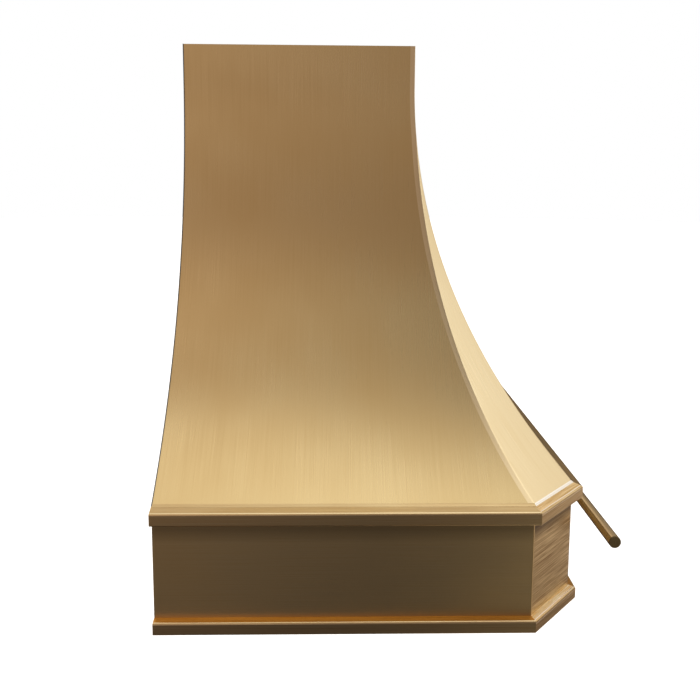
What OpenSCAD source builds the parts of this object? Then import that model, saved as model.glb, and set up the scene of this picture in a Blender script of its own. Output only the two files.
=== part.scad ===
// Wall-mounted range hood: a brass canopy that sweeps out from a square chimney to an
// apron with faceted front corners, a rail along the front, and a steel insert with
// filters, lamps, push buttons, blower and duct damper.
//
// Row frame: X along the wall, Y = 0 on the wall with the front towards -Y, Z up.
// The origin is on the wall, at the middle of the hood's lower edge.

/* [Hood] */
// Width across the outer faces of the apron sides
hood_w = 1067; // [930:1:1290]
// Depth from the wall to the outer face of the apron front
hood_d = 653; // [600:1:790]
// Height from the lower edge to the top edge of the chimney
hood_h = 914; // [750:1:1100]
// Thickness of the brass sheet
sheet_t = 1.5; // [1:0.1:2.5]

/* [Canopy] */
// Width of the chimney
chimney_w = 500; // [440:1:600]
// Depth of the chimney from the wall
chimney_d = 410; // [360:1:500]
// Height of the chimney's straight part
chimney_h = 69; // [40:1:120]
// Gap that lets the corner facet fade out below the chimney's edge
facet_lead = 1.2; // [0.6:0.1:3]

/* [Apron] */
// Height of the canopy's foot above the lower edge
apron_h = 197.5; // [170:0.5:240]
// Leg of the 45 degree corner facet
corner_leg = 83; // [50:1:110]

/* [Trim] */
// Height of the upright face of both trims
trim_face_h = 19; // [12:0.5:30]
// How far the upper trim stands out from the apron
upper_out = 15.5; // [8:0.5:25]
// Rise of the upper trim's sloped ledge
upper_rise = 5.5; // [2:0.5:10]
// How far the lower trim stands out from the apron
lower_out = 11.5; // [8:0.5:25]
// Rise of the lower trim's sloped ledge
lower_rise = 2.5; // [1:0.5:8]

/* [Rail] */
// Radius of the rail tube
rail_r = 10; // [8:0.5:13]
// Wall of the rail tube
rail_wall = 1.5; // [1:0.1:3]
// Distance from each end of the rail to the side face of the hood
rail_inset = 88; // [60:1:160]
// Distance from the apron front to the rail's axis
rail_standoff = 77; // [50:1:100]
// Height of the rail's axis
rail_z = 90.5; // [60:0.5:120]
// Distance from each end of the rail to the middle of its post
post_inset = 200; // [60:1:240]
// Radius of the post's stem
stem_r = 7; // [5:0.5:9]

/* [Back and frames] */
// Thickness of the galvanised back panel
back_t = 1.2; // [1:0.1:3]
// Thickness of the steel angle in the frames
angle_t = 3; // [2:0.5:4]
// Leg of the steel angle in the frames
angle_leg = 25; // [20:1:30]
// Distance between the wall holes, across
stud_pitch = 406.4; // [380:0.1:420]
// Height of the lower wall holes
wall_hole_low = 96; // [80:1:120]
// Distance between the wall holes, up and down
wall_hole_rise = 540; // [400:1:560]
// Radius of the wall holes
wall_hole_r = 4.5; // [3:0.5:6]
// Radius of the fixing holes in the chimney's top frame
top_hole_r = 3.5; // [2.5:0.5:5]

/* [Insert] */
// Height of the underside of the insert's flange
liner_z = 25; // [22:0.5:40]
// Thickness of the stainless sheet
liner_t = 1.2; // [0.8:0.1:2]
// Distance from the side faces of the hood to the plenum
plenum_margin = 101; // [90:1:140]
// Distance from the wall to the plenum
plenum_back = 70; // [66:1:90]
// Width of the flange strip in front of the plenum
front_strip = 133; // [110:1:160]
// Height of the plenum's top
plenum_top = 150; // [130:1:180]
// Width of the ledge that the filters rest on
ledge = 13; // [8:1:18]
// Thickness of the filters
filter_t = 24; // [18:1:30]
// Width of one U-shaped baffle
baffle_w = 24; // [18:1:30]
// Clear gap around each filter
filter_gap = 2; // [1:0.5:4]
// Radius of the lamps' front opening
lamp_r = 28; // [20:1:34]
// Distance from the hood's middle to each lamp
lamp_x = 300; // [220:1:360]
// Radius of the push buttons
button_r = 8; // [6:0.5:10]
// Distance between the push buttons
button_pitch = 42; // [30:1:60]

/* [Blower] */
// Width of the blower box
box_w = 400; // [380:1:460]
// Depth of the blower box
box_d = 345; // [335:1:370]
// Height of the blower box
box_h = 310; // [305:1:340]
// Radius of the impeller
wheel_r = 92; // [80:1:96]
// Width of the impeller
wheel_w = 136; // [100:1:150]
// Number of impeller blades
blades = 32; // [24:1:44]
// Outer radius of the duct collar
duct_r = 100; // [75:1:100]
// Length of the duct collar
duct_l = 60; // [40:1:90]
// Radius of the motor's body
motor_r = 44; // [35:1:50]
// Radius of the motor's shaft
shaft_r = 4; // [3:0.5:6]

/* [Hidden] */
$fn = 48;
sweep_fn = 256;       // circles of the big sweeps
clear = 0.5;          // gap between fixed sheets that only sit side by side
running = 0.08;       // radial clearance of a pin that turns
eps = 1;              // how far a cut runs past the face it opens
far = 3 * hood_w;     // longer than anything here

half_w = hood_w / 2;
facet_tan = tan(22.5);

// Canopy: three circular sweeps that share their start and their foot
bend_z = hood_h - chimney_h;
drop = bend_z - apron_h;
side_run = half_w - chimney_w / 2;
front_run = hood_d - chimney_d;
facet_base = (chimney_w / 2 + chimney_d) / sqrt(2) + facet_lead;
facet_run = (half_w + hood_d - corner_leg) / sqrt(2) - facet_base;
function sweep_r(run) = (run * run + drop * drop) / (2 * run);
side_r = sweep_r(side_run);
front_r = sweep_r(front_run);
facet_r = sweep_r(facet_run);

// Trims
upper_z = apron_h - upper_rise - trim_face_h;
lower_z = 0;

// Rail
rail_y = -hood_d - rail_standoff;
rail_half = half_w - rail_inset;
post_x = rail_half - post_inset;
eye_r = rail_r + 4;
eye_w = 18;
rosette_r = 17;
rosette_t = 4;
cap_t = 2;
plug = 10;
plug_gap = 0.1;
bolt_r = 3;
bolt_head_r = 5.5;
bolt_head_t = 3.5;
bolt_l = 20;                              // thread beyond the apron front
bolt_play = 0.2;
fit = 0.05;                               // radial gap of a pressed or clamped joint
set_r = 2;
set_l = 3.3;
set_sunk = 0.4;
key_r = 1;
key_depth = 2;

// Frames and back
inner = -sheet_t;                         // plan offset of the brass sheet's inner face
frame_y = -back_t - clear;
frame_z = liner_z + liner_t;
top_frame_sunk = 4;
top_frame_z = hood_h - angle_leg - top_frame_sunk;
top_hole_x = chimney_w / 2 - sheet_t - angle_leg / 2;
top_hole_y = [-(back_t + clear + angle_leg / 2), -(chimney_d - sheet_t - angle_leg / 2)];
cable_r = 16;
cable_x = 120;
cable_drop = 60;
wall_rail_w = 40;
wall_rail_l = chimney_w - 20;
screw_r = 1.5;
screw_play = 0.2;
screw_head_r = 4;
screw_head_t = 2;
screw_out = 4;                            // thread beyond the frame

// Insert
plenum_w = hood_w - 2 * plenum_margin;
plenum_y0 = -plenum_back;
plenum_y1 = -(hood_d - front_strip);
filter_w = (plenum_w - 4 * filter_gap) / 3;
filter_d = plenum_y0 - plenum_y1 - 2 * filter_gap;
filter_z = liner_z + liner_t;
filter_pitch = filter_w + filter_gap;
filter_y = (plenum_y0 + plenum_y1) / 2;
window_w = filter_w - 2 * ledge;
window_d = filter_d - 2 * ledge;
border = ledge + 10;                      // width of the filter frame's bars
baffle_t = 0.8;
baffle_h = 8;
baffle_gap = 0.4;                         // from a baffle to the frame's sheet
baffle_lap = 6;                           // how far a baffle reaches into the frame
baffle_bar = 2;
baffle_n = floor((filter_w - 2 * border - 4) / (1.5 * baffle_w));
bail_r = 2;
bail_w = 56;
bail_drop = 15;
bail_y = filter_y - window_d / 2 + 5;
bail_z = filter_z - 4.5;
bail_end = 4;                             // how far the wire reaches past the lug
lug_t = 2.5;
lug_w = 7;
strip_y = (plenum_y1 - hood_d + sheet_t) / 2;
lamp_h = 34;
lamp_wall = 1.7;
lamp_seat = 1;
lamp_rim = 5;
lamp_rim_t = 2.5;
lens_t = 3;
lens_recess = 0.3;
lens_gap = 0.2;
plate_l = 4 * button_pitch;
plate_d = 46;
plate_t = 2;
button_gap = 0.3;
button_rest = 0.2;                        // from the sheet up to the button's flange
button_flange = 2;
button_out = 4;
button_seat = 3;
drain_r = 6;
cup_l = 110;
cup_d = 46;
cup_h = 15;
cup_x = 250;
cup_y = -34;
cup_lip = 4;
cup_flange = 4;
cup_play = 0.3;
cup_top = liner_z - clear;

// Blower
box_y0 = plenum_y0 - 5;
duct_t = 1;
box_top = plenum_top + box_h;
wheel_y = box_y0 - 215;
wheel_z = plenum_top + 150;
scroll_w = wheel_w + 14;
scroll_max = wheel_r + 58;
scroll_min = wheel_r + 12;
scroll_end = 284;
scroll_steps = 24;
scroll_t = 1;
outlet_w = 125;
inlet_r = wheel_r - 14;
duct_y = wheel_y + scroll_max - outlet_w / 2;
blade_in = wheel_r - 20;
blade_l = 18;
blade_t = 1;
blade_lean = 28;
ring_t = 3;
disc_t = 2;
hub_l = 16;
shaft_x0 = -30;
shaft_x1 = 18;
motor_x1 = -10;
arm_w = 18;
arm_t = 3;
arm_grip = 2;                             // how far an arm reaches into the motor
arm_seat = 12;                            // how far an arm laps the scroll's side
motor_l = scroll_w / 2 + 10;
collar_flange = 12;
collar_t = 1.2;
bead_t = 1;
bead_drop = 1.8;                          // from the damper's pins down to the bead
damper_z = box_top + duct_l / 2;
pin_gap = 5;
pin_r = 1.5;
pin_short = 0.4;
flap_r = duct_r - 3;
flap_t = 1;
barrel_r = 3;

BRASS = "#b08d57";
ZINC = "#9aa0a3";
INOX = "#c3c6c8";

// ---------------------------------------------------------------- plan and sweeps

// The apron's outline in plan, moved outwards by n: from the wall on the left round the
// front to the wall on the right. Sides are numbered 0 left, 1 corner, 2 front, 3, 4.
function plan(n) = [
  [-half_w - n, 0],
  [-half_w - n, -(hood_d - corner_leg) - n * facet_tan],
  [-(half_w - corner_leg) - n * facet_tan, -hood_d - n],
  [half_w - corner_leg + n * facet_tan, -hood_d - n],
  [half_w + n, -(hood_d - corner_leg) - n * facet_tan],
  [half_w + n, 0]];

// An upright strip along side i, between two plan offsets, with mitred ends
module strip(i, n0, n1, z0, z1) {
  translate([0, 0, z0])
    linear_extrude(z1 - z0)
      polygon([plan(n0)[i], plan(n0)[i + 1], plan(n1)[i + 1], plan(n1)[i]]);
}

// Turns a drawing of (outwards, up) to face outwards at angle a, swept sideways
module facing(a, from, to) {
  rotate([90, 0, a])
    translate([0, 0, from])
      linear_extrude(to - from)
        children();
}

// A curved sheet: its outer face leaves the vertical at distance base, and ends at the foot
module swept_sheet(a, base, r, run, from, to) {
  facing(a, from, to)
    intersection() {
      translate([base + r, bend_z])
        difference() {
          circle(r = r + sheet_t, $fn = sweep_fn);
          circle(r = r, $fn = sweep_fn);
        }
      translate([base - 2 * sheet_t, apron_h])
        square([run + 3 * sheet_t, drop]);
    }
}

// All that lies outside a sweep, or outside its inner face when grow is the sheet's thickness
module outside(a, base, r, grow = 0) {
  rotate([90, 0, a])
    translate([base + r, bend_z, -far / 2])
      cylinder(r = r + grow, h = far, $fn = sweep_fn);
}

module outside_facet(a) {
  outside(a, facet_base, facet_r);
}

// ---------------------------------------------------------------- brass shell

module canopy_side() {
  color(BRASS) {
    translate([-chimney_w / 2, -chimney_d, bend_z])
      cube([sheet_t, chimney_d, chimney_h]);
    difference() {
      swept_sheet(180, chimney_w / 2, side_r, side_run, -hood_d, 0);
      outside(270, chimney_d, front_r);
      outside_facet(225);
    }
  }
}

module canopy_front() {
  color(BRASS) {
    translate([-chimney_w / 2 + sheet_t, -chimney_d, bend_z])
      cube([chimney_w - 2 * sheet_t, sheet_t, chimney_h]);
    difference() {
      swept_sheet(270, chimney_d, front_r, front_run, -half_w, half_w);
      outside(180, chimney_w / 2, side_r, sheet_t);
      outside(0, chimney_w / 2, side_r, sheet_t);
      outside_facet(225);
      outside_facet(315);
    }
  }
}

module canopy_corner() {
  color(BRASS)
    difference() {
      swept_sheet(225, facet_base, facet_r, facet_run, -half_w, half_w);
      outside(180, chimney_w / 2, side_r, sheet_t);
      outside(270, chimney_d, front_r, sheet_t);
    }
}

module apron_side() {
  color(BRASS)
    strip(0, inner, 0, 0, apron_h);
}

// The front is one strip with both corner facets folded back, drilled for the rail's posts
module apron_front() {
  color(BRASS)
    difference() {
      for (i = [1:3])
        strip(i, inner, 0, 0, apron_h);
      post_axes(bolt_r + bolt_play, -hood_d - eps, -hood_d + sheet_t + eps);
    }
}

// One mitred length of a folded trim on side i. z is its underside, and its ledge slopes
// up from the upright face to the apron.
module trim(i, z, out, rise) {
  face = trim_face_h;
  t = sheet_t;
  color(BRASS)
    intersection() {
      translate(plan(0)[i + 1])
        facing(180 + 45 * i, -out, far)
          polygon([
            [0, z], [out, z], [out, z + face], [0, z + face + rise],
            [0, z + face + rise - t], [out - t, z + face - t], [out - t, z + t], [0, z + t]]);
      strip(i, 0, out, z - eps, z + face + rise + eps);
    }
}

module upper_trim(i) {
  trim(i, upper_z, upper_out, upper_rise);
}

module lower_trim(i) {
  trim(i, lower_z, lower_out, lower_rise);
}

// ---------------------------------------------------------------- rail

// Cylinders along Y on both posts' axes
module post_axes(r, y0, y1) {
  for (side = [-1, 1])
    translate([side * post_x, y1, rail_z])
      rotate([90, 0, 0])
        cylinder(r = r, h = y1 - y0);
}

module along_x(r, x0, x1, y, z) {
  translate([x0, y, z])
    rotate([0, 90, 0])
      cylinder(r = r, h = x1 - x0);
}

module rail_tube() {
  color(BRASS)
    difference() {
      along_x(rail_r, -rail_half + cap_t, rail_half - cap_t, rail_y, rail_z);
      along_x(rail_r - rail_wall, -rail_half, rail_half, rail_y, rail_z);
    }
}

module rail_cap() {
  color(BRASS) {
    along_x(rail_r, -rail_half, -rail_half + cap_t, rail_y, rail_z);
    along_x(rail_r - rail_wall - plug_gap, -rail_half + cap_t, -rail_half + cap_t + plug, rail_y, rail_z);
  }
}

// A rosette against the apron, a stem, and an eye that the tube passes through
module rail_post(side) {
  color(BRASS)
    difference() {
      union() {
        translate([side * post_x, -hood_d, rail_z])
          rotate([90, 0, 0]) {
            cylinder(r = rosette_r, h = rosette_t);
            cylinder(r = stem_r, h = rail_standoff - rail_r);
          }
        along_x(eye_r, side * post_x - eye_w / 2, side * post_x + eye_w / 2, rail_y, rail_z);
      }
      along_x(rail_r + fit, -rail_half, rail_half, rail_y, rail_z);
      post_axes(bolt_r + fit, -hood_d - bolt_l - 2, -hood_d + eps);
      translate([side * post_x, rail_y, rail_z - eye_r - eps])
        cylinder(r = set_r + fit, h = eye_r);
    }
}

// Cheese-head bolts from inside the apron into the posts
module rail_post_bolts() {
  color(ZINC) {
    post_axes(bolt_r, -hood_d - bolt_l, -hood_d + sheet_t);
    post_axes(bolt_head_r, -hood_d + sheet_t, -hood_d + sheet_t + bolt_head_t);
  }
}

// Headless screws under the eyes, which pinch the tube
module rail_set_screws() {
  color(BRASS)
    for (side = [-1, 1])
      translate([side * post_x, rail_y, rail_z - eye_r + set_sunk])
        difference() {
          cylinder(r = set_r, h = set_l);
          translate([0, 0, -eps])
            cylinder(r = key_r, h = key_depth + eps, $fn = 6);
        }
}

// ---------------------------------------------------------------- back and frames

// The wall side's outline: the chimney, the sweeps and the apron
module back_outline() {
  gap = sheet_t + clear;
  foot = half_w - gap;
  difference() {
    union() {
      translate([-foot, 0])
        square([2 * foot, bend_z]);
      translate([-chimney_w / 2 + gap, bend_z])
        square([chimney_w - 2 * gap, chimney_h]);
    }
    for (side = [-1, 1])
      translate([side * (chimney_w / 2 + side_r), bend_z])
        circle(r = side_r + gap, $fn = sweep_fn);
  }
}

module wall_holes() {
  for (x = [-1, 1], z = [0, 1])
    translate([x * stud_pitch / 2, eps, wall_hole_low + z * wall_hole_rise])
      rotate([90, 0, 0])
        cylinder(r = wall_hole_r, h = 20);
}

// A flat steel sheet on the wall, with the wall holes and a round hole for the supply cable
module back_panel() {
  color(ZINC)
    difference() {
      facing(0, 0, back_t)
        back_outline();
      wall_holes();
      along_y(cable_r, -back_t - eps, cable_x, wall_hole_low + wall_hole_rise - cable_drop);
    }
}

module along_y(r, y0, x, z) {
  translate([x, eps, z])
    rotate([90, 0, 0])
      cylinder(r = r, h = eps - y0);
}

// A flat steel bar behind the back panel that takes two of the wall screws
module wall_rail(level) {
  color(ZINC)
    difference() {
      translate([-wall_rail_l / 2, -back_t - angle_t, wall_hole_low + level * wall_hole_rise - wall_rail_w / 2])
        cube([wall_rail_l, angle_t, wall_rail_w]);
      wall_holes();
    }
}

// Angle ring inside the chimney's top edge
module top_frame() {
  x0 = -chimney_w / 2 + sheet_t;
  y0 = -chimney_d + sheet_t;
  w = chimney_w - 2 * sheet_t;
  d = chimney_d - sheet_t + frame_y;
  color(ZINC)
    difference() {
      translate([x0, y0, top_frame_z])
        cube([w, d, angle_leg]);
      translate([x0 + angle_t, y0 + angle_t, top_frame_z - eps])
        cube([w - 2 * angle_t, d - 2 * angle_t, angle_leg - angle_t + eps]);
      translate([x0 + angle_leg, y0 + angle_leg, top_frame_z])
        cube([w - 2 * angle_leg, d - 2 * angle_leg, angle_leg + eps]);
      for (x = [-1, 1], y = top_hole_y)
        translate([x * top_hole_x, y, top_frame_z])
          cylinder(r = top_hole_r, h = angle_leg + eps);
    }
}

// Angle ring inside the apron's foot, with a bar along the wall
module base_frame() {
  color(ZINC)
    difference() {
      union() {
        for (i = [0:4]) {
          strip(i, inner - angle_leg, inner, frame_z, frame_z + angle_t);
          strip(i, inner - angle_t, inner, frame_z, frame_z + angle_leg);
        }
        translate([-half_w + sheet_t, frame_y - angle_leg, frame_z])
          cube([hood_w - 2 * sheet_t, angle_leg, angle_t]);
        translate([-half_w + sheet_t, frame_y - angle_t, frame_z])
          cube([hood_w - 2 * sheet_t, angle_t, angle_leg]);
      }
      translate([-half_w, frame_y, 0])
        cube([hood_w, back_t + clear + eps, hood_h]);
      liner_screw_axes(screw_r + screw_play / 2, frame_z - eps, frame_z + angle_t + eps);
    }
}

// ---------------------------------------------------------------- insert

liner_screw_places = [
  for (x = [-0.8, -0.3, 0.3, 0.8], y = [frame_y - angle_leg / 2, -hood_d + sheet_t + angle_leg / 2])
    [x * (half_w - corner_leg), y],
  for (x = [-1, 1], y = [0.35, 0.7])
    [x * (half_w - sheet_t - angle_leg / 2), -y * (hood_d - corner_leg)]];

module liner_screw_axes(r, z0, z1) {
  for (p = liner_screw_places)
    translate([p[0], p[1], z0])
      cylinder(r = r, h = z1 - z0, $fn = 24);
}

module liner_screws() {
  color(INOX) {
    liner_screw_axes(screw_r, liner_z, frame_z + angle_t + screw_out);
    liner_screw_axes(screw_head_r, liner_z - screw_head_t, liner_z);
  }
}

module lamp_axes(r, z0, z1) {
  for (side = [-1, 1])
    translate([side * lamp_x, strip_y, z0])
      cylinder(r = r, h = z1 - z0);
}

// The sheet that closes the hood's underside, with one window for each filter and the
// grease cups' runners under it
module liner_pan() {
  color(INOX) {
    for (side = [-1, 1])
      cup_runners(side);
    difference() {
      translate([0, 0, liner_z])
        linear_extrude(liner_t)
          intersection() {
            polygon(plan(inner - clear));
            translate([-half_w, -hood_d])
              square([hood_w, hood_d + frame_y]);
          }
      for (i = [-1:1])
        translate([i * filter_pitch - window_w / 2, filter_y - window_d / 2, liner_z - eps])
          cube([window_w, window_d, liner_t + 2 * eps]);
      lamp_axes(lamp_r + lamp_seat, liner_z - eps, filter_z + eps);
      for (i = [-1:1])
        translate([i * button_pitch, strip_y, liner_z - eps])
          cylinder(r = button_r + button_gap, h = liner_t + 2 * eps);
      liner_screw_axes(screw_r + screw_play, liner_z - eps, filter_z + eps);
      for (side = [-1, 1])
        translate([side * cup_x, cup_y, liner_z - eps])
          cylinder(r = drain_r, h = liner_t + 2 * eps);
    }
  }
}

// Four walls round the filters and a top with an opening under the blower box
module plenum() {
  w = plenum_w;
  d = plenum_y0 - plenum_y1;
  h = plenum_top - filter_z;
  color(INOX)
    difference() {
      translate([-w / 2 - liner_t, plenum_y1 - liner_t, filter_z])
        cube([w + 2 * liner_t, d + 2 * liner_t, h]);
      translate([-w / 2, plenum_y1, filter_z - eps])
        cube([w, d, h - liner_t + eps]);
      translate([-box_w / 2 + liner_t, box_y0 - box_d + liner_t, filter_z])
        cube([box_w - 2 * liner_t, box_d - 2 * liner_t, h + eps]);
    }
}

// The filter's frame: four bars, and two lugs for the bail under the front bar
module filter_frame(i) {
  x = i * filter_pitch;
  color(INOX)
    difference() {
      union() {
        translate([x - filter_w / 2, filter_y - filter_d / 2, filter_z])
          difference() {
            cube([filter_w, filter_d, filter_t]);
            translate([border, border, -eps])
              cube([filter_w - 2 * border, filter_d - 2 * border, filter_t + 2 * eps]);
            translate([liner_t, liner_t, liner_t])
              cube([filter_w - 2 * liner_t, filter_d - 2 * liner_t, filter_t - 2 * liner_t]);
          }
        for (side = [-1, 1])
          translate([x + side * (bail_w / 2) - lug_t / 2, bail_y - lug_w / 2, bail_z - lug_w / 2])
            cube([lug_t, lug_w, filter_z - bail_z + lug_w / 2]);
      }
      along_x(bail_r + running, x - bail_w, x + bail_w, bail_y, bail_z);
    }
}

// A U-shaped baffle that runs front to back, open upwards
module baffle(w, d) {
  difference() {
    cube([w, d, baffle_h]);
    translate([baffle_t, -eps, baffle_t])
      cube([w - 2 * baffle_t, d + 2 * eps, baffle_h]);
  }
}

// Two staggered rows of baffles, the lower ones open upwards and the upper ones downwards
module filter_baffles(i) {
  span = filter_w - 2 * border;
  pitch = span / baffle_n;
  d = filter_d - 2 * border + 2 * baffle_lap;
  low = filter_z + liner_t + baffle_gap;
  high = filter_z + filter_t - liner_t - baffle_gap;
  x0 = i * filter_pitch - span / 2;
  color(INOX) {
    for (k = [0:baffle_n - 1])
      translate([x0 + (k + 0.5) * pitch - baffle_w / 2, filter_y - d / 2, low])
        baffle(baffle_w, d);
    for (k = [1:baffle_n - 1])
      translate([x0 + k * pitch - baffle_w / 2, filter_y + d / 2, high])
        rotate([180, 0, 0])
          baffle(baffle_w, d);
    for (side = [-1, 1])
      translate([x0, filter_y + side * (d / 2 - 2 * baffle_bar) - baffle_bar / 2, low + baffle_h])
        cube([span, baffle_bar, high - low - 2 * baffle_h]);
  }
}

// A wire bail that hangs from the frame's lugs
module filter_handle(i) {
  x = i * filter_pitch;
  end = bail_w / 2 + lug_t / 2 + bail_r + clear;
  low = bail_z - bail_drop;
  color(INOX) {
    for (side = [-1, 1]) {
      translate([x + side * end, bail_y, low])
        cylinder(r = bail_r, h = bail_drop);
      translate([x + side * end, bail_y, bail_z])
        sphere(r = bail_r);
      translate([x + side * end, bail_y, low])
        sphere(r = bail_r);
    }
    along_x(bail_r, x - end, x + end, bail_y, low);
    along_x(bail_r, x - end, x - bail_w / 2 + bail_end, bail_y, bail_z);
    along_x(bail_r, x + bail_w / 2 - bail_end, x + end, bail_y, bail_z);
  }
}

// An open tray under the sheet's drain hole. Its side flanges slide on two runners, and a
// lip at the front is there to pull it by.
module grease_cup(side) {
  color(INOX)
    translate([side * cup_x, cup_y, cup_top - cup_h]) {
      difference() {
        union() {
          translate([-cup_l / 2, -cup_d / 2, 0])
            cube([cup_l, cup_d, cup_h]);
          translate([-cup_l / 2 - cup_flange, -cup_d / 2, cup_h - liner_t])
            cube([cup_l + 2 * cup_flange, cup_d, liner_t]);
        }
        translate([-cup_l / 2 + liner_t, -cup_d / 2 + liner_t, liner_t])
          cube([cup_l - 2 * liner_t, cup_d - 2 * liner_t, cup_h]);
      }
      translate([-cup_l / 6, -cup_d / 2 - cup_lip, 0])
        cube([cup_l / 3, cup_lip, liner_t]);
    }
}

// Two L-shaped runners under the sheet that hold one cup by its side flanges
module cup_runners(side) {
  web_x = cup_l / 2 + cup_flange + cup_play;
  foot_z = cup_top - 2 * liner_t - cup_play;
  for (edge = [-1, 1])
    translate([side * cup_x, cup_y - cup_d / 2, 0])
      mirror([edge < 0 ? 1 : 0, 0, 0]) {
        translate([web_x, 0, foot_z])
          cube([liner_t, cup_d, liner_z - foot_z]);
        translate([cup_l / 2 + cup_play, 0, foot_z])
          cube([cup_flange + liner_t, cup_d, liner_t]);
      }
}

// Recessed lamp bodies: a can above the flange and a rim under it
module lamp_housings() {
  color(ZINC)
    difference() {
      union() {
        lamp_axes(lamp_r - lamp_seat + lamp_wall, liner_z, liner_z + lamp_h);
        lamp_axes(lamp_r + lamp_rim, liner_z - lamp_rim_t, liner_z);
      }
      lamp_axes(lamp_r - lamp_seat, liner_z - lamp_rim_t, liner_z + lamp_h - lamp_wall);
      lamp_axes(lamp_r, liner_z - lamp_rim_t - eps, liner_z - lamp_rim_t + lens_t);
    }
}

module lamp_lens(side) {
  color("#f3efe2")
    translate([side * lamp_x, strip_y, liner_z - lamp_rim_t + lens_recess])
      cylinder(r = lamp_r - lens_gap, h = lens_t - lens_recess);
}

module control_plate() {
  color(INOX)
    difference() {
      translate([-plate_l / 2, strip_y - plate_d / 2, liner_z - plate_t])
        cube([plate_l, plate_d, plate_t]);
      for (i = [-1:1])
        translate([i * button_pitch, strip_y, liner_z - plate_t - eps])
          cylinder(r = button_r + button_gap, h = plate_t + 2 * eps);
    }
}

// A cap through the plate, and a flange above the sheet that keeps it in
module button(i) {
  color("#33363a")
    translate([i * button_pitch, strip_y, 0]) {
      translate([0, 0, liner_z - plate_t - button_out])
        cylinder(r = button_r, h = button_out + plate_t + liner_t + button_rest);
      translate([0, 0, filter_z + button_rest])
        cylinder(r = button_r + button_flange, h = button_seat);
    }
}

// ---------------------------------------------------------------- blower

module blower_box() {
  color(ZINC)
    difference() {
      translate([-box_w / 2, box_y0 - box_d, plenum_top])
        cube([box_w, box_d, box_h]);
      translate([-box_w / 2 + liner_t, box_y0 - box_d + liner_t, plenum_top - eps])
        cube([box_w - 2 * liner_t, box_d - 2 * liner_t, box_h - liner_t + eps]);
      translate([0, duct_y, plenum_top])
        cylinder(r = duct_r - duct_t, h = box_h + eps);
    }
}

// The scroll in (Y, Z) from the wheel's axis, with its sheet moved outwards by g. The
// radius shrinks from the outlet's back wall, down and round to the tongue.
function scroll_outline(g, top) = [
  for (a = [0:scroll_end / scroll_steps:scroll_end + 0.01])
    (scroll_max - (scroll_max - scroll_min) * a / scroll_end + g) * [cos(a), -sin(a)],
  [scroll_max - outlet_w - g, top],
  [scroll_max + g, top]];

module scroll_sheet(x0, x1) {
  translate([x0, wheel_y, wheel_z])
    rotate([90, 0, 90])
      linear_extrude(x1 - x0)
        children();
}

module scroll_housing() {
  t = scroll_t;
  top = box_top - liner_t - wheel_z;
  color(ZINC) {
    scroll_sheet(-scroll_w / 2, scroll_w / 2)
      difference() {
        polygon(scroll_outline(t, top));
        polygon(scroll_outline(0, top + eps));
      }
    for (x = [-scroll_w / 2 - t, scroll_w / 2])
      scroll_sheet(x, x + t)
        difference() {
          polygon(scroll_outline(t, top));
          circle(r = inlet_r);
        }
  }
}

// Forward-leaning blades between two rings, with a driving disc in the middle
module impeller() {
  color(ZINC)
    translate([0, wheel_y, wheel_z])
      rotate([0, 90, 0]) {
        for (k = [0:blades - 1])
          rotate([0, 0, k * 360 / blades])
            translate([blade_in + blade_t, 0, -wheel_w / 2])
              rotate([0, 0, blade_lean])
                cube([blade_l, blade_t, wheel_w]);
        for (z = [-wheel_w / 2, wheel_w / 2 - ring_t])
          translate([0, 0, z])
            difference() {
              cylinder(r = wheel_r, h = ring_t);
              translate([0, 0, -eps])
                cylinder(r = blade_in, h = ring_t + 2 * eps);
            }
        translate([0, 0, -disc_t / 2])
          difference() {
            union() {
              cylinder(r = blade_in + 4, h = disc_t);
              cylinder(r = 3 * shaft_r, h = hub_l);
            }
            translate([0, 0, -eps])
              cylinder(r = shaft_r, h = hub_l + 2 * eps);
          }
      }
}

module motor_shaft() {
  color("#7d8084")
    along_x(shaft_r, shaft_x0, shaft_x1, wheel_y, wheel_z);
}

// The motor hangs in the left inlet on three arms
module motor() {
  arm_x = -scroll_w / 2 - scroll_t - arm_t;
  color("#4c5054")
    difference() {
      union() {
        along_x(motor_r, motor_x1 - motor_l, motor_x1, wheel_y, wheel_z);
        for (a = [30, 150, 270])
          translate([arm_x, wheel_y, wheel_z])
            rotate([a, 0, 0])
              translate([0, -arm_w / 2, motor_r - arm_grip])
                cube([arm_t, arm_w, inlet_r + arm_seat + arm_grip - motor_r]);
      }
      along_x(shaft_r + running, shaft_x0 - eps, motor_x1 + eps, wheel_y, wheel_z);
    }
}

// Round collar on a square flange, drilled for the damper's two pins, with a seat bead
module duct_collar() {
  color(ZINC)
    difference() {
      translate([0, duct_y, box_top]) {
        cylinder(r = duct_r, h = duct_l);
        translate([-duct_r - collar_flange, -duct_r - collar_flange, 0])
          cube([2 * (duct_r + collar_flange), 2 * (duct_r + collar_flange), collar_t]);
      }
      translate([0, duct_y, box_top - eps])
        difference() {
          cylinder(r = duct_r - duct_t, h = duct_l + 2 * eps);
          translate([0, 0, duct_l / 2 - bead_drop + eps])
            difference() {
              cylinder(r = duct_r - duct_t / 2, h = bead_t);
              translate([0, 0, -eps])
                cylinder(r = flap_r - 4, h = bead_t + 2 * eps);
            }
        }
      for (side = [-1, 1])
        along_x(pin_r, -duct_r - eps, duct_r + eps, duct_y + side * pin_gap, damper_z);
    }
}

module damper_pins() {
  half = sqrt(duct_r * duct_r - pin_gap * pin_gap) - pin_short;
  color(INOX)
    for (side = [-1, 1])
      along_x(pin_r, -half, half, duct_y + side * pin_gap, damper_z);
}

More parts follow.
